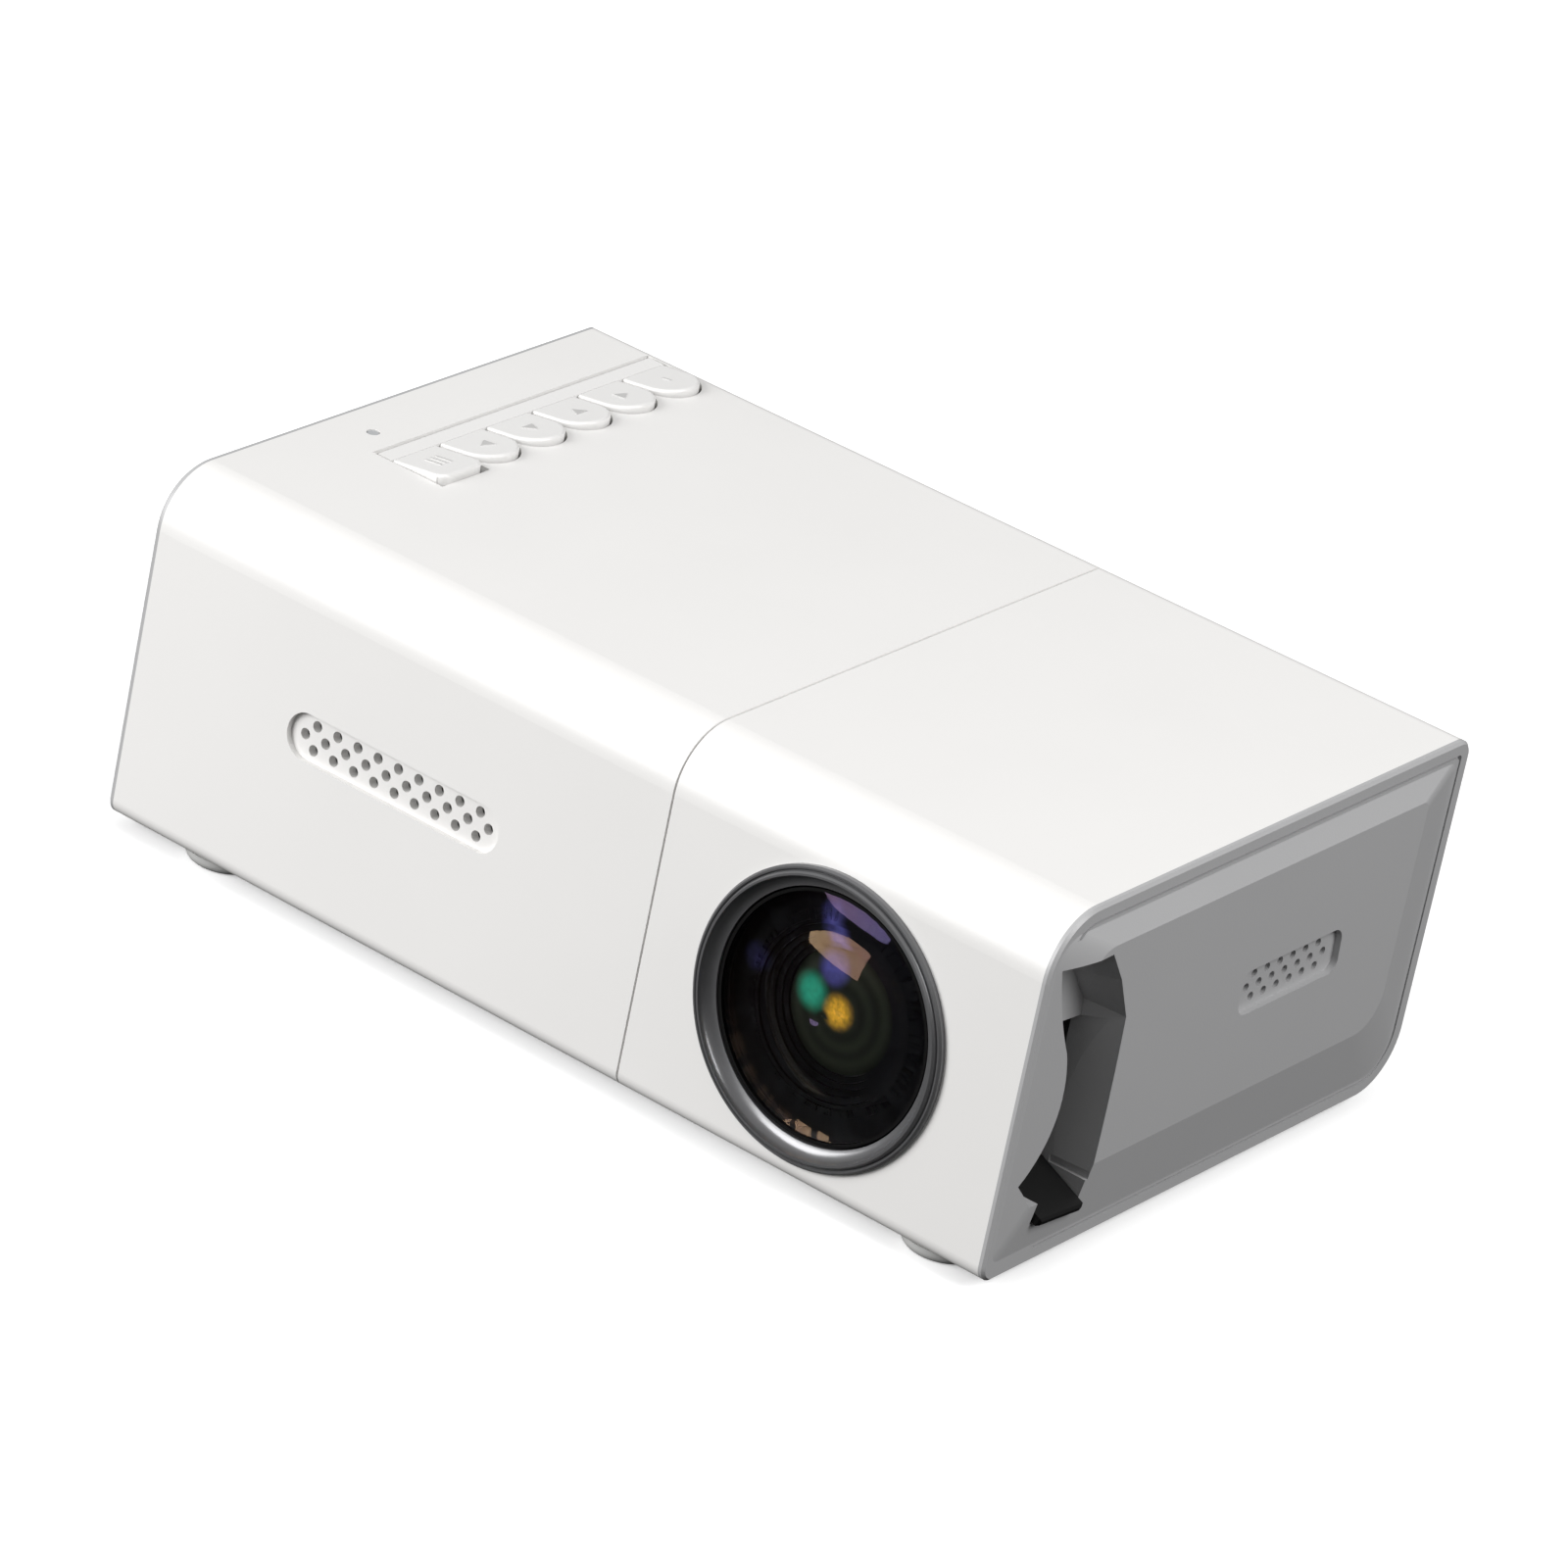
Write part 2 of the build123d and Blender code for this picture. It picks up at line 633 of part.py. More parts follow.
key_board_low = ceiling_z - 4.2 - 1.2
board_low_x = strip_start_x + 0.2
board_high_x = -42.4
with BuildPart() as key_board:
    with BuildSketch(Plane.XY.offset(key_board_low)):
        with Locations(((board_low_x + board_high_x) / 2, (strip_low_y + strip_high_y) / 2)):
            RectangleRounded(board_high_x - board_low_x, strip_high_y - strip_low_y - 0.6, 1.0)
        with Locations(*key_bosses):
            Circle(1.0, mode=Mode.SUBTRACT)
    extrude(amount=1.2)
finish(key_board.part, "key_board", "darkgreen")

with BuildPart() as key_switches:
    with BuildSketch(Plane.XY.offset(key_board_low + 1.2)):
        with Locations(*[(stem_x, centre) for centre in key_centres]):
            RectangleRounded(4.6, 4.6, 0.5)
    extrude(amount=switch_top - key_board_low - 1.6)
    with BuildSketch(Plane.XY.offset(switch_top - 0.4)):
        with Locations(*[(stem_x, centre) for centre in key_centres]):
            Circle(1.5)
    extrude(amount=0.4)
finish(key_switches.part, "key_switches", "dimgray")

with BuildPart() as status_light:
    with BuildSketch(Plane.XY.offset(ceiling_z - 1.6)):
        with Locations((light_x, light_y)):
            Circle(1.4)
    extrude(amount=1.6)
    with BuildSketch(Plane.XY.offset(ceiling_z)):
        with Locations((light_x, light_y)):
            Circle(0.75)
    extrude(amount=wall - 0.1)
finish(status_light.part, "status_light", "lightblue")

# ---- Main board and its sockets ----------------------------------------------------
main_low_x = -60.0
main_high_x = 5.5
main_low_y = -30.0
main_high_y = 33.5
with BuildPart() as main_board:
    with BuildSketch(Plane.XY.offset(board_z)):
        with Locations(((main_low_x + main_high_x) / 2, (main_low_y + main_high_y) / 2)):
            RectangleRounded(main_high_x - main_low_x, main_high_y - main_low_y, 1.5)
        with Locations(*post_places):
            Circle(1.2, mode=Mode.SUBTRACT)
    extrude(amount=board_thick)
finish(main_board.part, "main_board", "darkgreen")

with BuildPart() as board_screws:
    with BuildSketch(Plane.XY.offset(board_top)):
        with Locations(*post_places):
            Circle(2.0)
    extrude(amount=1.2)
    with BuildSketch(Plane.XY.offset(board_top)):
        with Locations(*post_places):
            Circle(0.95)
    extrude(amount=-4.4)
    with BuildSketch(Plane.XY.offset(key_board_low)):
        with Locations(*key_bosses):
            Circle(1.8)
    extrude(amount=-1.0)
    with BuildSketch(Plane.XY.offset(key_board_low)):
        with Locations(*key_bosses):
            Circle(0.85)
    extrude(amount=4.6)
finish(board_screws.part, "board_screws", "silver")

with BuildPart() as main_chips:
    with BuildSketch(Plane.XY.offset(board_top)):
        with Locations((-22.0, -4.0)):
            RectangleRounded(18.0, 18.0, 0.6)
        with Locations((-44.0, -6.0), (-44.0, 8.0)):
            RectangleRounded(11.0, 9.0, 0.4)
        with Locations((-6.0, 8.0)):
            RectangleRounded(8.0, 8.0, 0.4)
    extrude(amount=1.6)
    with BuildSketch(Plane.XY.offset(board_top)):
        with Locations((-56.0, -20.0), (-56.0, -12.0), (-2.0, -10.0), (-2.0, -18.0)):
            Circle(3.0)
    extrude(amount=8.0)
finish(main_chips.part, "board_components", "black")


with BuildPart() as hdmi_socket:
    with BuildSketch(Plane.XZ.offset(-rear_socket_y)):
        with Locations((hdmi_x, board_top + hdmi_height / 2)):
            RectangleRounded(hdmi_width, hdmi_height, 0.5)
    extrude(amount=socket_back)
    with BuildSketch(Plane.XZ.offset(-rear_socket_y - 0.1)):
        with Locations((hdmi_x, board_top + hdmi_height / 2)):
            Trapezoid(hdmi_width - 1.0, hdmi_height - 1.0, 60)
    extrude(amount=socket_back - 1.5, mode=Mode.SUBTRACT)
    with BuildSketch(Plane.XZ.offset(-rear_socket_y + 1.0)):
        with Locations((hdmi_x, board_top + hdmi_height / 2 + 0.3)):
            Rectangle(hdmi_width - 6.0, 1.1)
    extrude(amount=socket_back - 2.0)
finish(hdmi_socket.part, "hdmi_socket", "silver")

with BuildPart() as usb_socket:
    with BuildSketch(Plane.XZ.offset(-rear_socket_y)):
        with Locations((usb_x, board_top + usb_height / 2)):
            RectangleRounded(usb_width, usb_height, 0.5)
    extrude(amount=socket_back)
    with BuildSketch(Plane.XZ.offset(-rear_socket_y - 0.1)):
        with Locations((usb_x, board_top + usb_height / 2)):
            Rectangle(usb_width - 1.4, usb_height - 1.6)
    extrude(amount=socket_back - 1.5, mode=Mode.SUBTRACT)
    with BuildSketch(Plane.XZ.offset(-rear_socket_y + 1.0)):
        with Locations((usb_x, board_top + usb_height / 2 + 1.2)):
            Rectangle(usb_width - 3.4, 1.9)
    extrude(amount=socket_back - 2.0)
finish(usb_socket.part, "usb_socket", "silver")

with BuildPart() as card_slot:
    with BuildSketch(Plane.XZ.offset(-rear_socket_y)):
        with Locations((card_x, board_z - card_height / 2)):
            Rectangle(card_width - 2.4, card_height - 0.7)
            Rectangle(card_width - 3.4, card_height - 1.1, mode=Mode.SUBTRACT)
    extrude(amount=socket_back)
    with BuildSketch(Plane.XZ.offset(-rear_socket_y + socket_back - 1.0)):
        with Locations((card_x, board_z - card_height / 2)):
            Rectangle(card_width - 2.4, card_height - 0.7)
    extrude(amount=1.0)
    with BuildSketch(Plane.XZ.offset(-rear_socket_y + 4.5)):
        with Locations((card_x, board_z - card_height / 2)):
            Rectangle(card_width, card_height)
            Rectangle(card_width - 3.4, card_height - 1.1, mode=Mode.SUBTRACT)
    extrude(amount=socket_back - 5.0)
finish(card_slot.part, "card_slot", "silver")

jack_length = 13.0
jack_nose = 2.0
for name, x in (("av_jack", av_x), ("headphone_jack", phones_x)):
    with BuildPart() as jack:
        with BuildSketch(Plane.XZ.offset(-rear_socket_y)):
            with Locations((x, jack_z)):
                Circle(jack_side / 2 - 0.6)
        extrude(amount=jack_nose + 1.0)
        with BuildSketch(Plane.XZ.offset(-rear_socket_y + jack_nose)):
            with Locations((x, jack_z)):
                Rectangle(jack_side, jack_side)
        extrude(amount=jack_length - jack_nose)
        with BuildSketch(Plane.XZ.offset(-rear_socket_y - 0.1)):
            with Locations((x, jack_z)):
                Circle(jack_bore)
        extrude(amount=jack_length - 0.9, mode=Mode.SUBTRACT)
    finish(jack.part, name, "black")

with BuildPart() as power_jack:
    with BuildSketch(Plane.XZ.offset(-rear_socket_y)):
        with Locations((power_x, power_z)):
            Circle(power_side / 2 - 0.7)
    extrude(amount=jack_nose + 1.0)
    with BuildSketch(Plane.XZ.offset(-rear_socket_y + jack_nose)):
        with Locations((power_x, power_z)):
            Rectangle(power_side, power_side)
    extrude(amount=socket_back - jack_nose)
    with BuildSketch(Plane.XZ.offset(-rear_socket_y - 0.1)):
        with Locations((power_x, power_z)):
            Circle(power_bore)
            Circle(1.0, mode=Mode.SUBTRACT)
    extrude(amount=socket_back - 1.5, mode=Mode.SUBTRACT)
    with BuildSketch(Plane.XZ.offset(-rear_socket_y - 0.1)):
        with Locations((power_x, power_z)):
            Circle(1.0)
    extrude(amount=1.2, mode=Mode.SUBTRACT)
finish(power_jack.part, "power_jack", "black")

# ---- Speaker ------------------------------------------------------------------------
with BuildPart() as speaker_felt:
    with BuildSketch(face_plane(grille_x, grille_drop, wall + 0.7)):
        RectangleRounded(front_slot + 0.6, speaker_height - 2.0, 2.0)
    extrude(amount=0.7)
finish(speaker_felt.part, "speaker_felt", "black")

with BuildPart() as speaker_frame:
    with BuildSketch(face_plane(grille_x, grille_drop, wall + 0.7 + speaker_frame_depth)):
        RectangleRounded(speaker_width + 4.0, speaker_height, 3.0)
    extrude(amount=speaker_frame_depth)
    with BuildSketch(face_plane(grille_x, grille_drop, wall + 0.7 + speaker_frame_depth)):
        SlotOverall(speaker_width, speaker_height - 3.0)
    extrude(amount=speaker_frame_depth, mode=Mode.SUBTRACT)
finish(speaker_frame.part, "speaker_frame", "dimgray")

cone_front = wall + 0.7 + 0.8
with BuildPart() as speaker_cone:
    with BuildSketch(face_plane(grille_x, grille_drop, cone_front + 0.5)):
        SlotOverall(speaker_width - 0.1, speaker_height - 3.1)
    extrude(amount=0.5)
    with BuildSketch(face_plane(grille_x, grille_drop, cone_front + 2.6)):
        SlotOverall(speaker_width - 14.0, speaker_height - 7.0)
    extrude(amount=2.1)
finish(speaker_cone.part, "speaker_cone", "black")

with BuildPart() as speaker_magnet:
    with BuildSketch(face_plane(grille_x, grille_drop, wall + 0.7 + speaker_frame_depth + 5.0)):
        RectangleRounded(speaker_width - 8.0, speaker_height - 2.0, 1.0)
    extrude(amount=5.0)
finish(speaker_magnet.part, "speaker_magnet", "silver")

# ---- Lens, focus ring and barrel ------------------------------------------------------
# Low outer edge, a thin line, then the bead round the concave dish.
bezel_outline = [
    (bezel_lip_radius, -0.35),
    (bezel_lip_radius, -wall - 0.2),
    (bezel_neck_radius, -wall - 0.2),
    (bezel_neck_radius, 0),
    (bezel_radius, 0),
    (bezel_radius, bezel_proud - 0.6),
    (bezel_radius - 0.25, bezel_proud - 0.35),
    (bezel_radius - 0.45, bezel_proud - 0.35),
    (bezel_radius - 0.6, bezel_proud - 0.65),
    (bezel_radius - 0.75, bezel_proud - 0.25),
    (bezel_radius - 0.95, bezel_proud),
    (bezel_radius - 1.2, bezel_proud),
]
with BuildPart() as lens_bezel:
    with BuildSketch(lens_profile):
        with BuildLine():
            Polyline(*bezel_outline)
            ThreePointArc(bezel_outline[-1], (bezel_radius - 1.65, bezel_proud - 1.02), bezel_outline[0])
        make_face()
    revolve(axis=lens_axis)
finish(lens_bezel.part, "lens_bezel", "dimgray")

travel = helix_lead * focus_turn / 360
cup_back = cup_start + cup_length
holder_start = cup_back + travel + 0.3
holder_end = 20.6
ring_end = ring_start + ring_width
pin_depth = ring_start + 3.4
pin_reach = ring_radius - 0.9
pin_angles = [60.0, 240.0]
slot_steps = 16


def pin_plane(angle, depth):
    """Plane whose Z runs out radially from the lens axis at this angle and depth."""
    base = lens_plane(depth)
    out = base.x_dir * cos(radians(angle)) + base.y_dir * sin(radians(angle))
    return Plane(origin=base.origin, x_dir=base.z_dir, z_dir=out)


with BuildPart() as lens_holder:
    with BuildSketch(lens_profile):
        add(
            turned(
                [
                    (tube_radius + slide_gap, holder_start),
                    (holder_radius, holder_start),
                    (holder_radius, ring_end + 0.2),
                    (ring_radius - 0.4, ring_end + 0.2),
                    (ring_radius - 0.4, ring_end + 1.8),
                    (holder_radius, ring_end + 1.8),
                    (holder_radius, holder_end),
                    (tube_radius + slide_gap, holder_end),
                ]
            )
        )
    revolve(axis=lens_axis)
    with BuildSketch(lens_plane(holder_end + 1.4)):
        Rectangle(35.0, 25.6)
        Circle(tube_radius + slide_gap, mode=Mode.SUBTRACT)
    extrude(amount=1.5)
    # Straight slots that keep the barrel's pins from turning.
    for angle in pin_angles:
        for depth in (pin_depth, pin_depth + travel):
            with BuildSketch(pin_plane(angle, depth)):
                Circle(pin_radius + 0.3)
            extrude(amount=ring_radius, mode=Mode.SUBTRACT)
        with BuildSketch(pin_plane(angle, pin_depth + travel / 2)):
            Rectangle(travel, 2 * pin_radius + 0.6)
        extrude(amount=ring_radius, mode=Mode.SUBTRACT)
finish(lens_holder.part, "lens_holder", "black")

lever_plane = pin_plane(lever_rest_angle, lever_depth)
with BuildPart() as focus_ring:
    with BuildSketch(lens_profile):
        add(
            turned(
                [
                    (ring_bore, ring_start),
                    (ring_radius, ring_start),
                    (ring_radius, ring_end),
                    (ring_bore, ring_end),
                ]
            )
        )
    revolve(axis=lens_axis)
    # Helical slots that drive the barrel's pins as the ring turns.
    for angle in pin_angles:
        for step in range(slot_steps + 1):
            share = step / slot_steps
            with BuildSketch(pin_plane(angle - focus_turn * share, pin_depth + travel * share)):
                Circle(pin_radius + 0.32)
            extrude(amount=ring_radius + 1.0, mode=Mode.SUBTRACT)
    # Seat of the lever.
    with BuildSketch(lever_plane.offset(ring_radius - 1.4)):
        Rectangle(ring_width + 1.0, lever_thick)
    extrude(amount=4.0, mode=Mode.SUBTRACT)
finish(focus_ring.part, "focus_ring", "black")

with BuildPart() as focus_lever:
    with BuildSketch(lever_plane.offset(ring_radius - 1.4)):
        Rectangle(lever_width, lever_thick)
    extrude(amount=lever_reach - ring_radius + 1.4)
    end_edges = focus_lever.faces().sort_by_distance(lever_plane.offset(lever_reach).origin)[0].edges()
    chamfer(end_edges, length=0.3)
finish(focus_lever.part, "focus_lever", "black")

barrel_end = holder_end + 1.0
barrel_wall = 1.1
with BuildPart() as lens_barrel:
    with BuildSketch(lens_profile):
        add(
            turned(
                [
                    (glass_radius + 0.02, cup_start),
                    (cup_radius, cup_start),
                    (cup_radius, cup_back),
                    (tube_radius, cup_back),
                    (tube_radius, barrel_end),
                    (tube_radius - barrel_wall, barrel_end),
                    (tube_radius - barrel_wall, cup_back - 0.8),
                    (glass_radius + 0.02, cup_back - 0.8),
                ]
            )
        )
    revolve(axis=lens_axis)
    for angle in pin_angles:
        with BuildSketch(pin_plane(angle, pin_depth)):
            Circle(pin_radius)
        extrude(amount=ring_radius, mode=Mode.SUBTRACT)
finish(lens_barrel.part, "lens_barrel", "black")

with BuildPart() as barrel_pins:
    for angle in pin_angles:
        with BuildSketch(pin_plane(angle, pin_depth).offset(tube_radius - barrel_wall)):
            Circle(pin_radius)
        extrude(amount=pin_reach - tube_radius + barrel_wall)
finish(barrel_pins.part, "barrel_pins", "silver")


def arc_middle(radius, bulge):
    """Radius and height over the rim of the middle of a spherical face's profile."""
    ball = (radius**2 + bulge**2) / (2 * bulge)
    half = asin(radius / ball) / 2
    return ball * sin(half), bulge - ball * (1 - cos(half))


front_rim = cup_start + 0.5
front_bulge = 1.9
hollow_radius = glass_radius - 5.0
hollow = 1.6
with BuildPart() as front_lens:
    with BuildSketch(lens_profile):
        with BuildLine():
            out, rise = arc_middle(glass_radius, front_bulge)
            ThreePointArc((0, front_bulge - front_rim), (out, rise - front_rim), (glass_radius, -front_rim))
            back = 0.8 - cup_back
            Polyline((glass_radius, -front_rim), (glass_radius, back), (hollow_radius, back))
            out, rise = arc_middle(hollow_radius, hollow)
            ThreePointArc((hollow_radius, back), (out, back + rise), (0, back + hollow))
            Line((0, back + hollow), (0, front_bulge - front_rim))
        make_face()
    revolve(axis=lens_axis)
finish(front_lens.part, "front_lens", "lightblue")

bore_radius = tube_radius - barrel_wall
spacer_start = cup_back - 0.7
middle_depth = 5.4
middle_radius = bore_radius - 3.4
rear_depth = 17.4
step_count = 4
step_width = (bore_radius - 0.6 - middle_radius) / step_count
step_depth = 0.35
with BuildPart() as lens_baffle:
    # The steps climb outwards towards the front lens.
    steps = []
    for step in range(step_count):
        depth = middle_depth - 1.1 - step * step_depth
        steps += [(middle_radius + 0.02 + step * step_width, depth), (middle_radius + (step + 1) * step_width, depth)]
    with BuildSketch(lens_profile):
        add(
            turned(
                [
                    (bore_radius - 0.02, spacer_start),
                    (bore_radius - 0.02, middle_depth + 2.0),
                    (middle_radius - 0.9, middle_depth + 2.0),
                    (middle_radius - 0.9, middle_depth + 1.4),
                    (middle_radius + 0.02, middle_depth + 1.4),
                    *steps,
                    (bore_radius - 0.5, spacer_start),
                ]
            )
        )
    revolve(axis=lens_axis)
finish(lens_baffle.part, "lens_baffle", "black")


def simple_lens(radius, depth, edge, bulge):
    """A lens outline with equal bulges on both faces, its middle at this depth."""
    with BuildSketch() as shape:
        with BuildLine():
            front = -(depth - edge / 2)
            back = -(depth + edge / 2)
            out, rise = arc_middle(radius, bulge)
            ThreePointArc((0, front + bulge), (out, front + rise), (radius, front))
            Line((radius, front), (radius, back))
            ThreePointArc((radius, back), (out, back - rise), (0, back - bulge))
            Line((0, back - bulge), (0, front + bulge))
        make_face()
    return shape.sketch


with BuildPart() as middle_lens:
    with BuildSketch(lens_profile):
        add(simple_lens(middle_radius, middle_depth + 0.25, 2.0, 0.5))
    revolve(axis=lens_axis)
finish(middle_lens.part, "middle_lens", "lightblue")

with BuildPart() as rear_lens:
    with BuildSketch(lens_profile):
        add(simple_lens(bore_radius - 0.02, rear_depth, 2.2, 1.4))
    revolve(axis=lens_axis)
finish(rear_lens.part, "rear_lens", "lightblue")

# ---- Optical engine ---------------------------------------------------------------------
engine_front = holder_end + 1.4
engine_step = 44.0
engine_back = 59.0
engine_wall = 1.5
box_half_x = lcd_width / 2 + 2.6
box_half_v = lcd_height / 2 + 2.8
rear_half_x = 13.0
rear_half_v = 11.0
plate_half_x = box_half_x - engine_wall + 0.8
plate_half_v = box_half_v - engine_wall + 0.8
plates = {"output_fresnel": (29.0, 1.2), "lcd_panel": (33.5, 2.4), "input_fresnel": (39.0, 1.2)}


with BuildPart() as engine_housing:
    with BuildSketch(lens_plane(engine_step)):
        Rectangle(2 * box_half_x, 2 * box_half_v)
    extrude(amount=engine_step - engine_front - 0.05)
    with BuildSketch(lens_plane(engine_back)):
        Rectangle(2 * rear_half_x, 2 * rear_half_v)
    extrude(amount=engine_back - engine_step)
    # Hollow light path, open at both ends.
    with BuildSketch(lens_plane(engine_step - engine_wall)):
        Rectangle(2 * (box_half_x - engine_wall), 2 * (box_half_v - engine_wall))
    extrude(amount=engine_step - engine_front - 2 * engine_wall, mode=Mode.SUBTRACT)
    with BuildSketch(lens_plane(engine_back)):
        Rectangle(2 * (rear_half_x - engine_wall), 2 * (rear_half_v - engine_wall))
    extrude(amount=engine_back - engine_step + engine_wall, mode=Mode.SUBTRACT)
    with BuildSketch(lens_plane(engine_front + engine_wall + 0.1)):
        Circle(tube_radius + 0.6)
    extrude(amount=engine_wall + 0.2, mode=Mode.SUBTRACT)
    # The wide part's top is a separate lid.
    with BuildSketch(lens_plane(engine_step - engine_wall)):
        with Locations((0, box_half_v)):
            Rectangle(2 * (box_half_x - engine_wall), 4 * engine_wall)
    extrude(amount=engine_step - engine_front - 2 * engine_wall, mode=Mode.SUBTRACT)
    # Grooves that hold the two Fresnel lenses and the panel.
    for depth, thick in plates.values():
        with BuildSketch(lens_plane(depth + thick + 0.05)):
            Rectangle(2 * plate_half_x + 0.1, 2 * plate_half_v + 0.1)
        extrude(amount=thick + 0.1, mode=Mode.SUBTRACT)
finish(engine_housing.part, "engine_housing", "dimgray")

with BuildPart() as engine_lid:
    with BuildSketch(lens_plane(engine_step - engine_wall - 0.05)):
        with Locations((0, box_half_v - engine_wall / 2 + 0.2)):
            Rectangle(2 * (box_half_x - engine_wall) - 0.1, engine_wall - 0.4)
    extrude(amount=engine_step - engine_front - 2 * engine_wall - 0.1)
finish(engine_lid.part, "engine_lid", "dimgray")

for name, (depth, thick) in plates.items():
    with BuildPart() as plate:
        with BuildSketch(lens_plane(depth + thick)):
            with Locations((0, -0.45)):
                Rectangle(2 * plate_half_x, 2 * plate_half_v - 0.9)
        extrude(amount=thick)
    finish(plate.part, name, "lightblue")

condenser_radius = rear_half_v - engine_wall - 0.05
with BuildPart() as condenser_lens:
    with BuildSketch(lens_profile):
        with BuildLine():
            out, rise = arc_middle(condenser_radius, 3.8)
            ThreePointArc((0, -48.5), (out, rise - 52.3), (condenser_radius, -52.3))
            Polyline((condenser_radius, -52.3), (condenser_radius, -53.5), (0, -53.5), (0, -48.5))
        make_face()
    revolve(axis=lens_axis)
finish(condenser_lens.part, "condenser_lens", "lightblue")

led_thick = 1.6
sink_base = 2.0
sink_depth = 72.6
sink_half_v = 11.0
with BuildPart() as led_board:
    with BuildSketch(lens_plane(engine_back + led_thick)):
        Rectangle(2 * rear_half_x - 1.0, 2 * rear_half_v - 1.0)
    extrude(amount=led_thick)
finish(led_board.part, "led_board", "white")

with BuildPart() as led_chip:
    with BuildSketch(lens_plane(engine_back)):
        RectangleRounded(8.0, 8.0, 0.8)
    extrude(amount=0.8)
    with BuildSketch(lens_plane(engine_back - 0.8)):
        Circle(3.0)
    extrude(amount=1.0, taper=20)
finish(led_chip.part, "led_chip", "yellow")

fin_count = 9
fin_thick = 1.0
with BuildPart() as heat_sink:
    with BuildSketch(lens_plane(engine_back + led_thick + sink_base)):
        Rectangle(2 * rear_half_x, 2 * sink_half_v)
    extrude(amount=sink_base)
    with BuildSketch(lens_plane(sink_depth)):
        with GridLocations((2 * rear_half_x - fin_thick) / (fin_count - 1), 0, fin_count, 1):
            Rectangle(fin_thick, 2 * sink_half_v)
    extrude(amount=sink_depth - engine_back - led_thick - sink_base)
finish(heat_sink.part, "heat_sink", "silver")

# Bracket between the underside and the engine's narrow rear part.
bracket_front = engine_step + 2.0
bracket_back = engine_back - 1.0
bracket_length = bracket_back - bracket_front
with BuildPart() as engine_bracket:
    with BuildSketch(lens_plane(bracket_back)):
        with Locations((0, -rear_half_v - 3.5)):
            Rectangle(2 * rear_half_x + 3.2, 7.0)
        with Locations((-rear_half_x - 0.8, -rear_half_v + 2.5), (rear_half_x + 0.8, -rear_half_v + 2.5)):
            Rectangle(1.6, 6.0)
    extrude(amount=bracket_length)
    split(bisect_by=Plane.XY.offset(floor_z + 0.05), keep=Keep.TOP)
finish(engine_bracket.part, "engine_bracket", "lightgray")

# ---- Fan ---------------------------------------------------------------------------------
fan_centre = (20.8, 24.2)
fan_x = sleeve_end - cover_plate - fan_thick
fan_bore = fan_size / 2 - 1.1
with BuildPart() as fan_frame:
    with BuildSketch(Plane.YZ.offset(fan_x)):
        with Locations(fan_centre):
            RectangleRounded(fan_size, fan_size, 2.0)
            Circle(fan_bore, mode=Mode.SUBTRACT)
    extrude(amount=fan_thick)
    # Motor seat on three arms, on the inward side.
    with BuildSketch(Plane.YZ.offset(fan_x)):
        with Locations(fan_centre):
            Circle(4.6)
            with PolarLocations(fan_bore / 2 + 2.0, 3):
                Rectangle(fan_bore - 3.0, 1.4)
            Circle(1.0 + slide_gap, mode=Mode.SUBTRACT)
    extrude(amount=1.2)
finish(fan_frame.part, "fan_frame", "black")

blade_count = 7
with BuildPart() as fan_rotor:
    with BuildSketch(Plane.YZ.offset(fan_x + 1.6)):
        with Locations(fan_centre):
            Circle(5.4)
    extrude(amount=fan_thick - 2.2)
    with BuildSketch(Plane.YZ.offset(fan_x + 2.2)):
        with Locations(fan_centre):
            with PolarLocations(7.9, blade_count):
                Rectangle(6.0, 1.0, rotation=18)
    extrude(amount=fan_thick - 3.2)
    with BuildSketch(Plane.YZ.offset(fan_x + 0.2)):
        with Locations(fan_centre):
            Circle(1.0)
    extrude(amount=1.6)
finish(fan_rotor.part, "fan_rotor", "black")
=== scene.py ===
"""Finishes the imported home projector: its plastics, metals, glass and the studio round it."""

from math import cos, radians, sin

import bmesh
import bpy
from bpy.props import FloatProperty, FloatVectorProperty, PointerProperty
from mathutils import Matrix, Vector


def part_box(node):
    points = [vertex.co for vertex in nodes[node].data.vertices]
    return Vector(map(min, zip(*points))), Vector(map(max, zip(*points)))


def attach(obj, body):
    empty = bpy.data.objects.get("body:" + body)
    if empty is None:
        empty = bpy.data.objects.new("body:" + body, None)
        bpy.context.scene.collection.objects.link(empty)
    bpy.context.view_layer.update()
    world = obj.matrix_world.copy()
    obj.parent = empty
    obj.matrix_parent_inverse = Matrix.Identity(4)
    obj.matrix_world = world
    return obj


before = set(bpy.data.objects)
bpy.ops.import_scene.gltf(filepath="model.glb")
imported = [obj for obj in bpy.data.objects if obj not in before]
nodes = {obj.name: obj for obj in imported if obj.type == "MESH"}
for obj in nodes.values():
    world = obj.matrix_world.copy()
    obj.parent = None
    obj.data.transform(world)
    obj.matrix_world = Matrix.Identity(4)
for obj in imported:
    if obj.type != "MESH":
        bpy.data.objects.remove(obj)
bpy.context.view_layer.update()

bl_info = {
    "name": "Home Projector Finishes",
    "version": (1, 0, 0),
    "blender": (4, 5, 0),
    "location": "View3D > Sidebar > Projector",
    "description": "Gives a small LED projector its finishes, key symbols and studio",
    "category": "Object",
}

KEYS = ("menu_key", "left_key", "down_key", "up_key", "right_key", "power_key")
MM = 0.001


# ---- Sizes and colours a user would change ---------------------------------------


def tint(name, description, default):
    """A colour property."""
    return FloatVectorProperty(
        name=name, description=description, subtype="COLOR", size=3, min=0.0, max=1.0, default=default
    )


def share(name, description, default):
    """A plain factor property."""
    return FloatProperty(
        name=name, description=description, subtype="FACTOR", min=0.0, max=1.0, default=default
    )


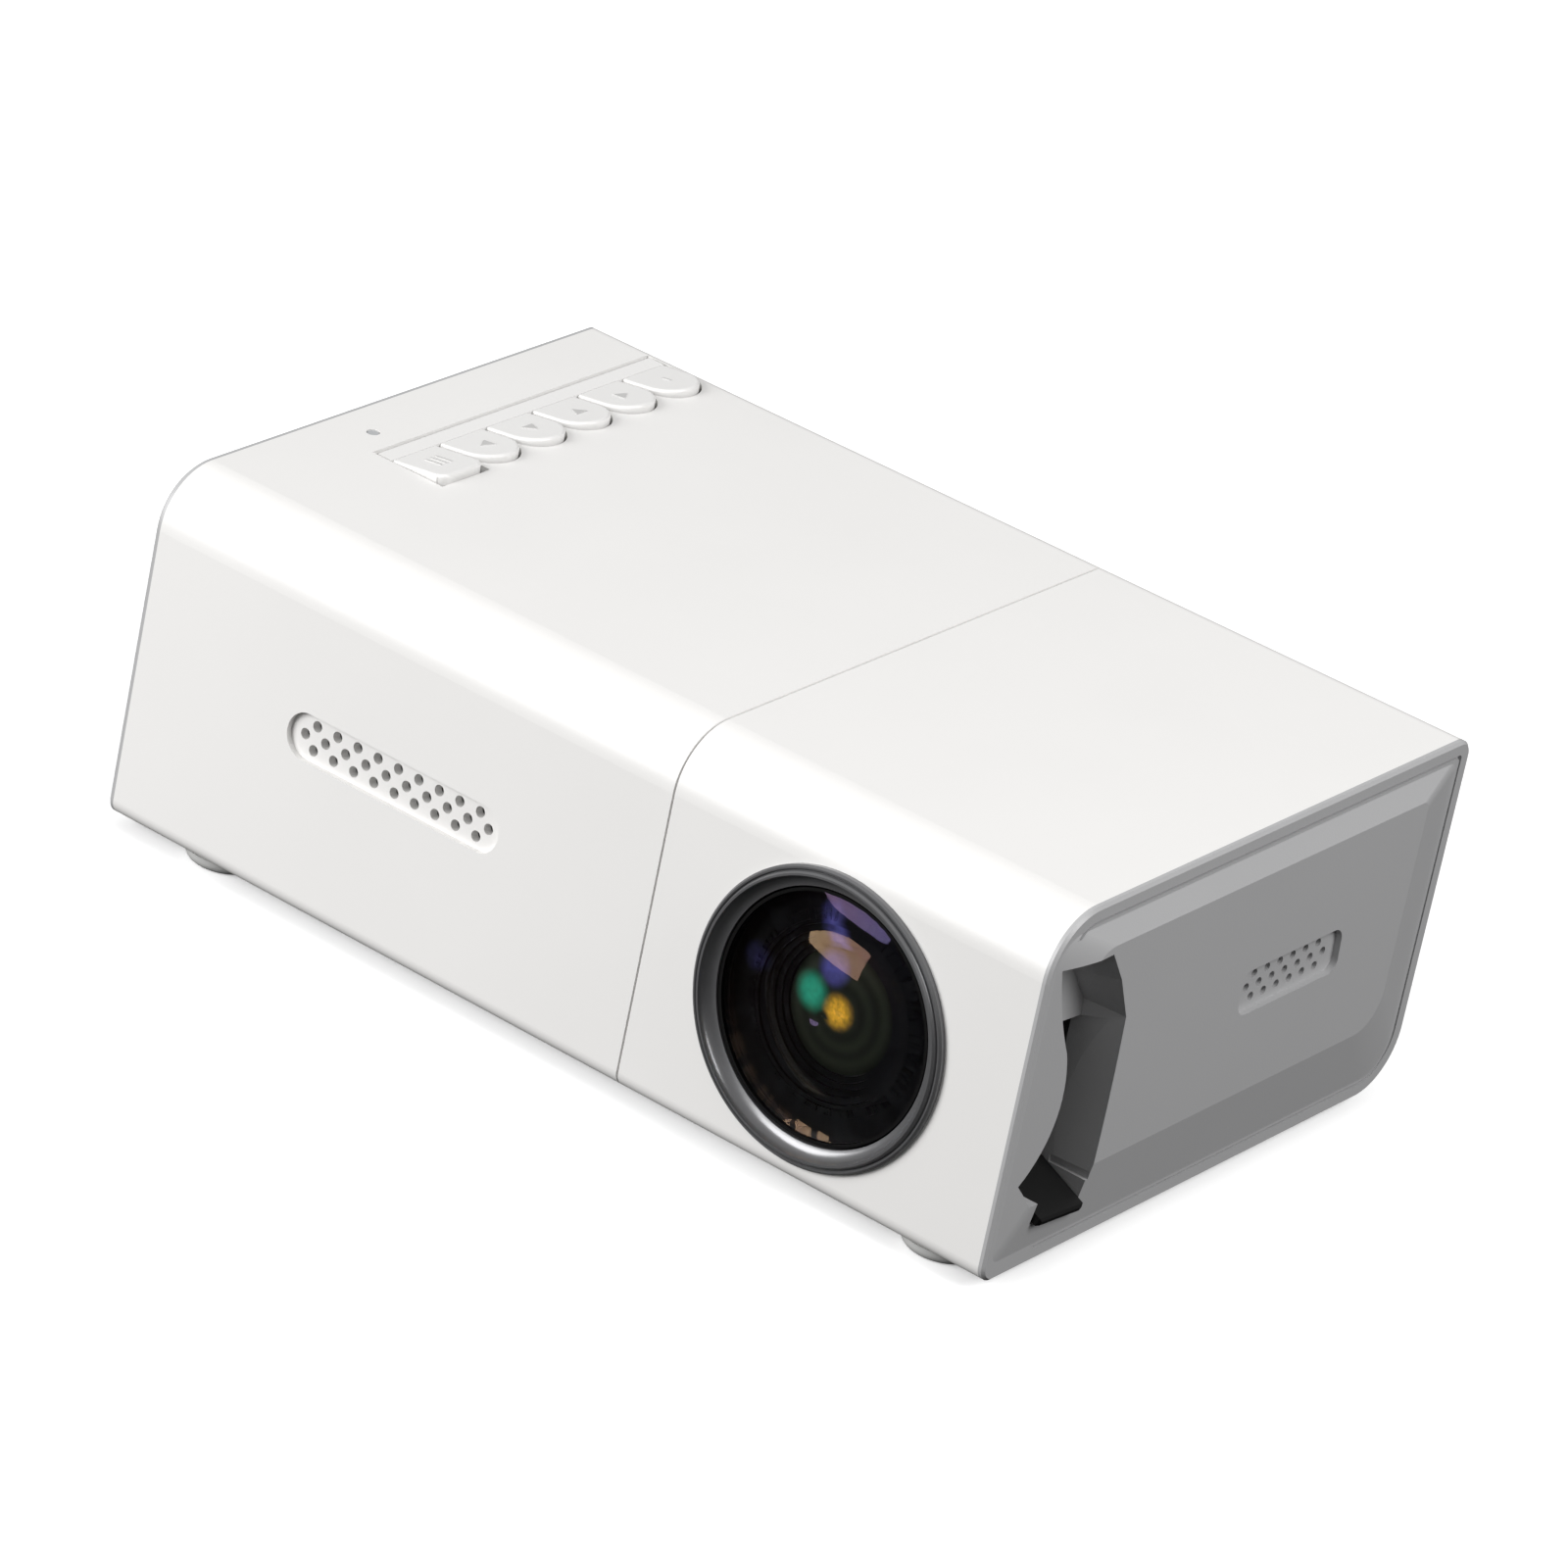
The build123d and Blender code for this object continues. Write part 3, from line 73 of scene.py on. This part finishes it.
def length(name, description, default):
    """A length property."""
    return FloatProperty(
        name=name, description=description, subtype="DISTANCE", unit="LENGTH", min=0.0, default=default
    )


def angle(name, description, default):
    """An angle property."""
    return FloatProperty(
        name=name, description=description, subtype="ANGLE", unit="ROTATION", default=default
    )


def amount(name, description, default):
    """A plain number property."""
    return FloatProperty(name=name, description=description, default=default)


class ShellSettings(bpy.types.PropertyGroup):
    """White housing and keys."""

    colour: tint("Shell colour", "Colour of the two white sleeves", (0.86, 0.85, 0.835))
    key_colour: tint("Key colour", "Colour of the keys and their hinge strip", (0.85, 0.842, 0.83))
    roughness: share("Shell roughness", "How dull the moulded skin is", 0.34)
    grain: length("Grain size", "Size of the spark-eroded texture", 0.00035)
    symbol_height: length("Symbol height", "How far the key symbols stand up", 0.00012)


class CoverSettings(bpy.types.PropertyGroup):
    """Grey end covers."""

    colour: tint("Cover colour", "Colour of the grey end covers", (0.46, 0.46, 0.465))
    roughness: share("Cover roughness", "How dull the satin paint is", 0.42)
    grain: length("Cover grain", "Size of the paint's fine grain", 0.00025)


class LensSettings(bpy.types.PropertyGroup):
    """Lens glass, its coatings, its bezel and the colours of the reflections painted inside the lens."""

    bezel: tint("Bezel colour", "Colour of the gunmetal bezel", (0.16, 0.16, 0.165))
    bezel_roughness: share("Bezel roughness", "How dull the bezel is", 0.27)
    barrel: tint("Barrel black", "Colour of the blackened barrel and baffle", (0.0015, 0.0015, 0.0015))
    film: amount("Coating thickness", "Thickness of the anti-reflection film, nm", 230.0)
    # Painted reflections: the amber, green and violet colours are painted into the middle lens and the
    # barrel as reflections.
    amber_painted_reflection: tint("Amber reflection", "Colour reflected from the panel", (1.0, 0.50, 0.04))
    green: tint("Green reflection", "Colour reflected from the middle lens", (0.04, 0.42, 0.24))
    violet_painted_reflection: tint("Violet reflection", "Colour reflected from the coatings", (0.11, 0.10, 0.34))


class StudioSettings(bpy.types.PropertyGroup):
    """Camera, floor and light."""

    azimuth: angle("Azimuth", "Camera direction round the object", radians(36.43))
    elevation: angle("Elevation", "Camera height over the horizon", radians(26.65))
    roll: angle("Roll", "Camera turn about its own axis", radians(8.53))
    distance: length("Distance", "Camera to the aim point", 0.9392)
    focal: amount("Focal length", "Camera lens, mm", 182.257)
    aim_height: length("Aim height", "Height of the aim point", 0.0261)
    right_shift: amount("Move right", "Camera shift along its own right", 0.00046)
    up_shift: amount("Move up", "Camera shift along its own up", -0.00287)
    sky: amount("Sky strength", "Strength of the soft light all round", 0.48)
    front_power: amount("Front light", "Power of the front softbox, W", 12.6)
    end_power: amount("End light", "Power of the softbox beyond the lever end, W", 6.8)
    floor: tint("Floor colour", "Colour of the plain floor", (0.95, 0.95, 0.95))


# ---- Shader building ---------------------------------------------------------------


class Value:
    """A shader number that can be used in sums."""

    def __init__(self, surface, socket):
        self.surface = surface
        self.socket = socket

    def joined(self, operation, first, second):
        return self.surface.node("ShaderNodeMath", {"operation": operation}, {0: first, 1: second})

    def __add__(self, other):
        return self.joined("ADD", self, other)

    def __radd__(self, other):
        return self.joined("ADD", other, self)

    def __mul__(self, other):
        return self.joined("MULTIPLY", self, other)

    def __rmul__(self, other):
        return self.joined("MULTIPLY", other, self)


class Surface:
    """A material being built round one Principled shader."""

    def __init__(self, name, **constants):
        self.material = bpy.data.materials.new(name)
        self.material.use_nodes = True
        self.tree = self.material.node_tree
        self.tree.nodes.clear()
        self.shader = self.tree.nodes.new("ShaderNodeBsdfPrincipled")
        out = self.tree.nodes.new("ShaderNodeOutputMaterial")
        self.tree.links.new(self.shader.outputs[0], out.inputs["Surface"])
        for key, value in constants.items():
            self.feed(self.shader.inputs[key.replace("_", " ")], value)

    def feed(self, socket, value):
        """Links a value into a socket, or sets the socket to it."""
        if isinstance(value, Value):
            self.tree.links.new(value.socket, socket)
        elif hasattr(value, "__len__") and socket.type == "RGBA" and len(value) == 3:
            socket.default_value = (*value, 1.0)
        else:
            socket.default_value = value

    def node(self, kind, settings, inputs, output=0):
        """Any node: its settings first, then its sockets, giving one of its outputs."""
        made = self.tree.nodes.new(kind)
        for key, value in settings.items():
            setattr(made, key, value)
        for key, value in inputs.items():
            self.feed(made.inputs[key], value)
        return Value(self, made.outputs[output])

    def place(self):
        """Position in the object's own frame, in metres."""
        return self.node("ShaderNodeTexCoord", {}, {}, "Object")

    def noise(self, size, detail=2.0, roughness=0.5):
        """Noise from 0 to 1 with features of this size."""
        inputs = {"Vector": self.place(), "Scale": 1.0 / size, "Detail": detail, "Roughness": roughness}
        return self.node("ShaderNodeTexNoise", {}, inputs)

    def span(self, value, low, high, start=0.0, end=1.0):
        """value taken from low..high to start..end, kept inside."""
        return self.node(
            "ShaderNodeMapRange",
            {"interpolation_type": "SMOOTHSTEP"},
            {"Value": value, "From Min": low, "From Max": high, "To Min": start, "To Max": end},
        )

    def blend(self, factor, first, second):
        """Two colours mixed by a factor."""
        return self.node("ShaderNodeMix", {"data_type": "RGBA"}, {0: factor, 6: first, 7: second}, 2)

    def bump(self, height, distance):
        """A bump from a height pattern, feeding Normal."""
        inputs = {"Height": height, "Distance": distance, "Strength": 1.0}
        self.feed(self.shader.inputs["Normal"], self.node("ShaderNodeBump", {}, inputs))

    def distance(self, place, centre):
        """Distance from a place to a fixed centre."""
        return self.node("ShaderNodeVectorMath", {"operation": "DISTANCE"}, {0: place, 1: centre}, "Value")

    def spot(self, centre, radius, soft):
        """1 round a front-to-back line through centre, falling to 0 over a soft edge."""
        across_and_up = (1.0, 0.0, 1.0)
        flat = self.node(
            "ShaderNodeVectorMath", {"operation": "MULTIPLY"}, {0: self.place(), 1: across_and_up}
        )
        away = self.distance(flat, (centre.x, 0.0, centre.z))
        return self.span(away, radius, radius + soft, 1.0, 0.0)


def dress(surface, *names):
    """Gives CAD nodes this finish."""
    for name in names:
        for slot in nodes[name].material_slots:
            slot.material = surface.material


def moulded(name, colour, roughness, grain, depth, spread=0.05, **constants):
    """Injection-moulded plastic with a fine spark-eroded skin."""
    surface = Surface(name, **constants)
    cloud = surface.noise(0.022, 3.0)
    fine = surface.noise(grain, 2.0, 0.6)
    dark = [c * 0.965 for c in colour]
    surface.feed(surface.shader.inputs["Base Color"], surface.blend(cloud, colour, dark))
    skin = surface.noise(grain * 6, 2.0)
    surface.feed(surface.shader.inputs["Roughness"], roughness - spread / 2 + skin * spread)
    surface.bump(fine, depth)
    return surface


# ---- Operators -----------------------------------------------------------------------


class PROJECTOR_OT_shell(bpy.types.Operator):
    """Finishes the white sleeves, keys, feet and status light"""

    bl_idname = "projector.shell"
    bl_label = "Shell and Keys"

    def execute(self, context):
        settings = context.scene.projector_shell
        white = moulded("moulded_white", settings.colour, settings.roughness, settings.grain, 0.000006)
        dress(white, "main_sleeve", "lens_sleeve")
        key_white = moulded("key_white", settings.key_colour, settings.roughness, settings.grain, 0.000006)
        dress(key_white, "key_strip", *KEYS)
        foot = moulded("foot_rubber", (0.50, 0.50, 0.49), 0.62, 0.0006, 0.00002)
        dress(foot, "feet")
        light = Surface("light_pipe", Roughness=0.2, IOR=1.49)
        cloud = light.noise(0.0006)
        shade = light.blend(cloud, (0.42, 0.43, 0.44), (0.50, 0.51, 0.52))
        light.feed(light.shader.inputs["Base Color"], shade)
        dress(light, "status_light")
        return {"FINISHED"}


class PROJECTOR_OT_covers(bpy.types.Operator):
    """Finishes the grey end covers in satin paint"""

    bl_idname = "projector.covers"
    bl_label = "End Covers"

    def execute(self, context):
        settings = context.scene.projector_cover
        grey = moulded(
            "satin_grey",
            settings.colour,
            settings.roughness,
            settings.grain,
            0.000012,
            0.08,
            Coat_Weight=0.12,
            Coat_Roughness=0.3,
        )
        dress(grey, "left_end_cover", "right_end_cover")
        return {"FINISHED"}


class PROJECTOR_OT_symbols(bpy.types.Operator):
    """Adds a faint raised symbol to each key"""

    bl_idname = "projector.symbols"
    bl_label = "Key Symbols"

    def execute(self, context):
        settings = context.scene.projector_shell
        height = settings.symbol_height
        # Painted shade: the symbols are coloured darker than the white keys.
        shade = [c * 0.68 for c in settings.key_colour]
        white = moulded("symbol_painted_shade", shade, settings.roughness, settings.grain, 0.000004)
        from_root = 0.0038
        sunk = 0.0001
        bar = [(-1, -0.16), (1, -0.16), (1, 0.16), (-1, 0.16)]
        triangle = [(-0.8, -1), (0.9, 0), (-0.8, 1)]
        shapes = {
            "menu_key": [[(u * 1.3, v * 1.0 + shift) for u, v in bar] for shift in (-0.9, 0, 0.9)],
            "left_key": [[(v, -u) for u, v in triangle]],
            "down_key": [triangle],
            "up_key": [[(-u, v) for u, v in triangle]],
            "right_key": [[(v, u) for u, v in triangle]],
            "power_key": [[(u * 0.7, v) for u, v in bar]],
        }
        for name, outlines in shapes.items():
            low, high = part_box(name)
            middle = (low.y + high.y) / 2
            slope = (high.z - cad_top()) / (high.x - low.x)
            mesh = bpy.data.meshes.new(name + "_symbol")
            made = bmesh.new()
            for outline in outlines:
                corners = []
                for u, v in outline:
                    x = low.x + from_root + u * MM
                    top = cad_top() + slope * (x - low.x)
                    corners.append(made.verts.new((x, middle + v * MM, top - sunk)))
                face = made.faces.new(corners)
                raised = bmesh.ops.extrude_face_region(made, geom=[face])
                moved = [item for item in raised["geom"] if isinstance(item, bmesh.types.BMVert)]
                bmesh.ops.translate(made, verts=moved, vec=(0, 0, height + sunk))
            bmesh.ops.recalc_face_normals(made, faces=made.faces)
            made.to_mesh(mesh)
            made.free()
            piece = bpy.data.objects.new(name + "_symbol", mesh)
            context.scene.collection.objects.link(piece)
            piece.data.materials.append(white.material)
            bevel = piece.modifiers.new("edges", "BEVEL")
            bevel.width = height * 0.4
            bevel.segments = 2
            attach(piece, name + "_tongue")
        return {"FINISHED"}


def cad_top():
    """Height of the housing's top face."""
    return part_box("main_sleeve")[1].z


def lens_point(across, up):
    """A point on the middle lens's plane, in millimetres across and up from the lens axis."""
    low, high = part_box("middle_lens")
    centre = (low + high) / 2
    lean = radians(5.125)
    return centre + Vector((across, up * sin(lean), up * cos(lean))) * MM


class PROJECTOR_OT_lens(bpy.types.Operator):
    """Finishes the bezel, the glass and the blackened barrel"""

    bl_idname = "projector.lens"
    bl_label = "Lens"

    def execute(self, context):
        settings = context.scene.projector_lens
        bezel = Surface("gunmetal", Metallic=0.55, Coat_Weight=0.35, Coat_Roughness=0.12)
        cloud = bezel.noise(0.004, 3.0)
        lighter = [c * 1.25 for c in settings.bezel]
        bezel.feed(bezel.shader.inputs["Base Color"], bezel.blend(cloud, settings.bezel, lighter))
        skin = settings.bezel_roughness + bezel.noise(0.0005) * 0.06
        bezel.feed(bezel.shader.inputs["Roughness"], skin)
        bezel.bump(bezel.noise(0.0002), 0.000004)
        dress(bezel, "lens_bezel")
        black = Surface("blackened", Specular_IOR_Level=0.12)
        dark = black.blend(black.noise(0.002), settings.barrel, (0.003, 0.0028, 0.0028))
        # Painted reflection: violet patches painted into the colour of the barrel and baffle stand for
        # reflections in the coatings, with a fainter one to the left.
        streak_and_painted_reflection = black.spot(lens_point(-1.6, 7.6), 0.0005, 0.0016)
        for across, up, size in ((-2.0, 9.6, 0.0007), (-2.6, 11.6, 0.0006)):
            streak_and_painted_reflection = streak_and_painted_reflection + black.spot(lens_point(across, up), size, 0.0016)
        streak_and_painted_reflection = streak_and_painted_reflection + 0.3 * black.spot(lens_point(-11.4, 2.6), 0.0003, 0.0020)
        painted_reflection_patches = streak_and_painted_reflection * black.noise(0.0016, 1.0)
        black.feed(black.shader.inputs["Base Color"], black.blend(painted_reflection_patches, dark, settings.violet_painted_reflection))
        black.feed(black.shader.inputs["Roughness"], 0.48 + black.noise(0.0008) * 0.12)
        black.bump(black.noise(0.0003), 0.000003)
        dress(black, "lens_barrel", "lens_baffle", "lens_holder", "focus_ring")
        glass = Surface(
            "coated_glass",
            Base_Color=(0.93, 0.95, 1.0),
            IOR=1.2,
            Transmission_Weight=1.0,
            Thin_Film_Thickness=settings.film,
            Thin_Film_IOR=1.3,
        )
        glass.feed(glass.shader.inputs["Roughness"], glass.noise(0.004) * 0.012)
        dress(glass, "front_lens")
        self.inner(settings)
        return {"FINISHED"}

    def inner(self, settings):
        """The middle lens, with violet, green and amber reflections painted into its colour."""
        lens = Surface("middle_lens_painted_reflections", Roughness=0.2, IOR=1.12)
        ring_turns = 3200.0
        away = lens.distance(lens.place(), lens_point(0.0, 0.0))
        rings = lens.node("ShaderNodeMath", {"operation": "SINE"}, {0: away * ring_turns}) * 0.5 + 0.5
        dark = lens.blend(rings, (0.014, 0.016, 0.010), (0.024, 0.026, 0.017))
        # Painted reflections: violet, green and amber patches painted into the colour of the middle lens.
        streak_and_painted_reflection = lens.spot(lens_point(-2.0, 4.8), 0.0008, 0.0020) * (0.3 + 0.7 * lens.noise(0.0012, 1.0))
        green = lens.spot(lens_point(-4.4, 0.8), 0.0006, 0.0024) * (0.5 + 0.5 * lens.noise(0.0010, 1.0))
        amber_painted_reflection = lens.spot(lens_point(-0.2, 0.0), 0.0006, 0.0020) * (0.25 + 1.1 * lens.noise(0.0006, 1.0))
        colour = lens.blend(streak_and_painted_reflection, dark, settings.violet_painted_reflection)
        colour = lens.blend(green, colour, settings.green)
        colour = lens.blend(amber_painted_reflection, colour, settings.amber_painted_reflection)
        lens.feed(lens.shader.inputs["Base Color"], colour)
        dress(lens, "middle_lens")
        back = Surface("rear_coating", Roughness=0.1, IOR=1.6)
        tone = back.blend(back.noise(0.004), (0.05, 0.06, 0.05), (0.08, 0.09, 0.08))
        back.feed(back.shader.inputs["Base Color"], tone)
        dress(back, "rear_lens")


class PROJECTOR_OT_focus(bpy.types.Operator):
    """Finishes the focus lever"""

    bl_idname = "projector.focus"
    bl_label = "Focus Lever"

    def execute(self, context):
        black = moulded(
            "lever_black", (0.004, 0.004, 0.004), 0.55, 0.0003, 0.00001, Specular_IOR_Level=0.3
        )
        dress(black, "focus_lever")
        return {"FINISHED"}


class PROJECTOR_OT_sockets(bpy.types.Operator):
    """Finishes the rear sockets, screws and tripod bush"""

    bl_idname = "projector.sockets"
    bl_label = "Sockets and Fasteners"

    def execute(self, context):
        steel = Surface("plated_steel", Metallic=1.0)
        streak_and_painted_reflection = steel.noise(0.0012, 3.0)
        plate = steel.blend(streak_and_painted_reflection, (0.62, 0.62, 0.62), (0.50, 0.50, 0.51))
        steel.feed(steel.shader.inputs["Base Color"], plate)
        steel.feed(steel.shader.inputs["Roughness"], 0.24 + streak_and_painted_reflection * 0.18)
        steel.bump(steel.noise(0.0002), 0.000004)
        dress(steel, "hdmi_socket", "usb_socket", "card_slot", "speaker_magnet")
        dress(steel, "housing_screws", "board_screws", "barrel_pins")
        black = moulded("socket_black", (0.018, 0.018, 0.018), 0.4, 0.0004, 0.00001)
        dress(black, "av_jack", "headphone_jack", "power_jack", "key_switches")
        dress(black, "board_components", "fan_frame", "fan_rotor")
        brass = Surface("turned_brass", Metallic=1.0)
        rings = brass.noise(0.0008, 2.0)
        turned = brass.blend(rings, (0.72, 0.53, 0.25), (0.60, 0.42, 0.18))
        brass.feed(brass.shader.inputs["Base Color"], turned)
        brass.feed(brass.shader.inputs["Roughness"], 0.22 + rings * 0.15)
        dress(brass, "tripod_insert")
        return {"FINISHED"}


class PROJECTOR_OT_inside(bpy.types.Operator):
    """Finishes the boards, the speaker, the frames and the optical engine"""

    bl_idname = "projector.inside"
    bl_label = "Inside"

    def execute(self, context):
        board = Surface("solder_mask", Roughness=0.35)
        tracks = board.noise(0.003, 4.0, 0.7)
        mask = board.blend(board.span(tracks, 0.48, 0.52), (0.02, 0.13, 0.05), (0.03, 0.19, 0.08))
        board.feed(board.shader.inputs["Base Color"], mask)
        board.bump(tracks, 0.00003)
        dress(board, "main_board", "key_board")
        grey = moulded("frame_grey", (0.22, 0.22, 0.23), 0.5, 0.0005, 0.00001)
        dress(grey, "joining_frame", "base_tray", "speaker_frame")
        dress(grey, "engine_housing", "engine_lid", "engine_bracket")
        felt = Surface("speaker_felt", Roughness=0.95)
        fibre = felt.noise(0.0004, 3.0, 0.7)
        pile = felt.blend(fibre, (0.05, 0.05, 0.05), (0.11, 0.11, 0.11))
        felt.feed(felt.shader.inputs["Base Color"], pile)
        felt.bump(fibre, 0.0001)
        dress(felt, "speaker_felt", "speaker_cone")
        clear = Surface("clear_plate", Roughness=0.1, IOR=1.5, Transmission_Weight=0.85)
        tone = clear.blend(clear.noise(0.01), (0.75, 0.80, 0.80), (0.68, 0.74, 0.74))
        clear.feed(clear.shader.inputs["Base Color"], tone)
        dress(clear, "output_fresnel", "lcd_panel", "input_fresnel", "condenser_lens")
        metal = Surface("sink_aluminium", Metallic=1.0)
        cast = metal.blend(metal.noise(0.002), (0.72, 0.72, 0.73), (0.62, 0.62, 0.63))
        metal.feed(metal.shader.inputs["Base Color"], cast)
        metal.feed(metal.shader.inputs["Roughness"], 0.35 + metal.noise(0.0006) * 0.15)
        dress(metal, "heat_sink")
        dress(moulded("led_white", (0.82, 0.81, 0.78), 0.4, 0.0005, 0.00001), "led_board")
        dress(moulded("phosphor", (0.85, 0.66, 0.08), 0.5, 0.0004, 0.00002), "led_chip")
        return {"FINISHED"}


class PROJECTOR_OT_stage(bpy.types.Operator):
    """Sets the camera, the plain floor and the soft studio light"""

    bl_idname = "projector.stage"
    bl_label = "Stage"

    def execute(self, context):
        settings = context.scene.projector_studio
        self.camera(context, settings)
        self.floor(context, settings)
        self.sky(context, settings)
        self.softbox(context, "front_softbox", (-0.55, -0.85, 0.42), 0.7, settings.front_power)
        self.softbox(context, "end_softbox", (0.80, 0.12, 0.66), 0.5, settings.end_power)
        context.scene.view_settings.view_transform = "Standard"
        return {"FINISHED"}

    def camera(self, context, settings):
        side, height = settings.azimuth, settings.elevation
        back = Vector((sin(side) * cos(height), -cos(side) * cos(height), sin(height)))
        right = Vector((cos(side), sin(side), 0.0))
        up = right.cross(-back)
        turn = settings.roll
        level = right * cos(turn) + up * sin(turn)
        upright = up * cos(turn) - right * sin(turn)
        eye = Vector((0, 0, settings.aim_height)) + back * settings.distance
        eye += level * settings.right_shift + upright * settings.up_shift
        lens = bpy.data.cameras.new("camera")
        lens.lens = settings.focal
        lens.sensor_width = 36.0
        lens.clip_start = 0.05
        lens.clip_end = 20.0
        camera = bpy.data.objects.new("camera", lens)
        turned = Matrix((level, upright, back)).transposed().to_4x4()
        camera.matrix_world = Matrix.Translation(eye) @ turned
        context.scene.collection.objects.link(camera)
        context.scene.camera = camera

    def floor(self, context, settings):
        mesh = bpy.data.meshes.new("floor")
        made = bmesh.new()
        bmesh.ops.create_grid(made, x_segments=8, y_segments=8, size=4.0)
        made.to_mesh(mesh)
        made.free()
        floor = bpy.data.objects.new("floor", mesh)
        white = (1.0, 1.0, 1.0, 1.0)
        surface = Surface("floor_paper", Roughness=0.9, Emission_Color=white, Emission_Strength=0.35)
        grain = surface.noise(0.05, 2.0)
        lighter = [min(1.0, c * 1.01) for c in settings.floor]
        surface.feed(surface.shader.inputs["Base Color"], surface.blend(grain, settings.floor, lighter))
        mesh.materials.append(surface.material)
        context.scene.collection.objects.link(floor)
        floor.visible_diffuse = False
        floor.visible_glossy = False
        floor.visible_transmission = False

    def sky(self, context, settings):
        world = bpy.data.worlds.new("studio")
        world.use_nodes = True
        tree = world.node_tree
        light = tree.nodes["Background"]
        light.inputs["Strength"].default_value = settings.sky
        where = tree.nodes.new("ShaderNodeTexCoord")
        split = tree.nodes.new("ShaderNodeSeparateXYZ")
        ramp = tree.nodes.new("ShaderNodeValToRGB")
        stops = ((0.0, 0.02), (0.48, 0.05), (0.60, 0.30), (0.78, 0.93), (1.0, 0.93))
        while len(ramp.color_ramp.elements) < len(stops):
            ramp.color_ramp.elements.new(0.5)
        for element, (at, bright) in zip(ramp.color_ramp.elements, stops):
            element.position = at
            element.color = (bright, bright, bright, 1.0)
        scale = tree.nodes.new("ShaderNodeMath")
        scale.operation = "MULTIPLY_ADD"
        scale.inputs[1].default_value = 0.5
        scale.inputs[2].default_value = 0.5
        tree.links.new(where.outputs["Generated"], split.inputs[0])
        tree.links.new(split.outputs["Z"], scale.inputs[0])
        tree.links.new(scale.outputs[0], ramp.inputs[0])
        tree.links.new(ramp.outputs[0], light.inputs["Color"])
        context.scene.world = world

    def softbox(self, context, name, place, size, power):
        lamp = bpy.data.lights.new(name, "AREA")
        lamp.shape = "SQUARE"
        lamp.size = size
        lamp.energy = power
        lit = bpy.data.objects.new(name, lamp)
        lit.location = place
        lit.rotation_euler = (Vector((0, 0, 0.02)) - Vector(place)).to_track_quat("-Z", "Y").to_euler()
        context.scene.collection.objects.link(lit)


class PROJECTOR_PT_panel(bpy.types.Panel):
    """The projector's steps, in order"""

    bl_label = "Projector"
    bl_idname = "PROJECTOR_PT_panel"
    bl_space_type = "VIEW_3D"
    bl_region_type = "UI"
    bl_category = "Projector"

    def draw(self, context):
        for name in SETTINGS:
            box = self.layout.box()
            group = getattr(context.scene, name)
            for key in group.__annotations__:
                box.prop(group, key)
        for step in STEPS:
            self.layout.operator(step.bl_idname)


SETTINGS = {
    "projector_shell": ShellSettings,
    "projector_cover": CoverSettings,
    "projector_lens": LensSettings,
    "projector_studio": StudioSettings,
}
STEPS = (
    PROJECTOR_OT_shell,
    PROJECTOR_OT_covers,
    PROJECTOR_OT_symbols,
    PROJECTOR_OT_lens,
    PROJECTOR_OT_focus,
    PROJECTOR_OT_sockets,
    PROJECTOR_OT_inside,
    PROJECTOR_OT_stage,
)


def register():
    """Registers the settings, the operators and the panel."""
    for item in (*SETTINGS.values(), *STEPS, PROJECTOR_PT_panel):
        bpy.utils.register_class(item)
    for name, group in SETTINGS.items():
        setattr(bpy.types.Scene, name, PointerProperty(type=group))


def unregister():
    """Takes everything registered away again."""
    for name in SETTINGS:
        delattr(bpy.types.Scene, name)
    for item in reversed((*SETTINGS.values(), *STEPS, PROJECTOR_PT_panel)):
        bpy.utils.unregister_class(item)


def main():
    """Builds the whole scene."""
    register()
    for step in STEPS:
        group, name = step.bl_idname.split(".")
        getattr(getattr(bpy.ops, group), name)()


if __name__ == "__main__":
    main()
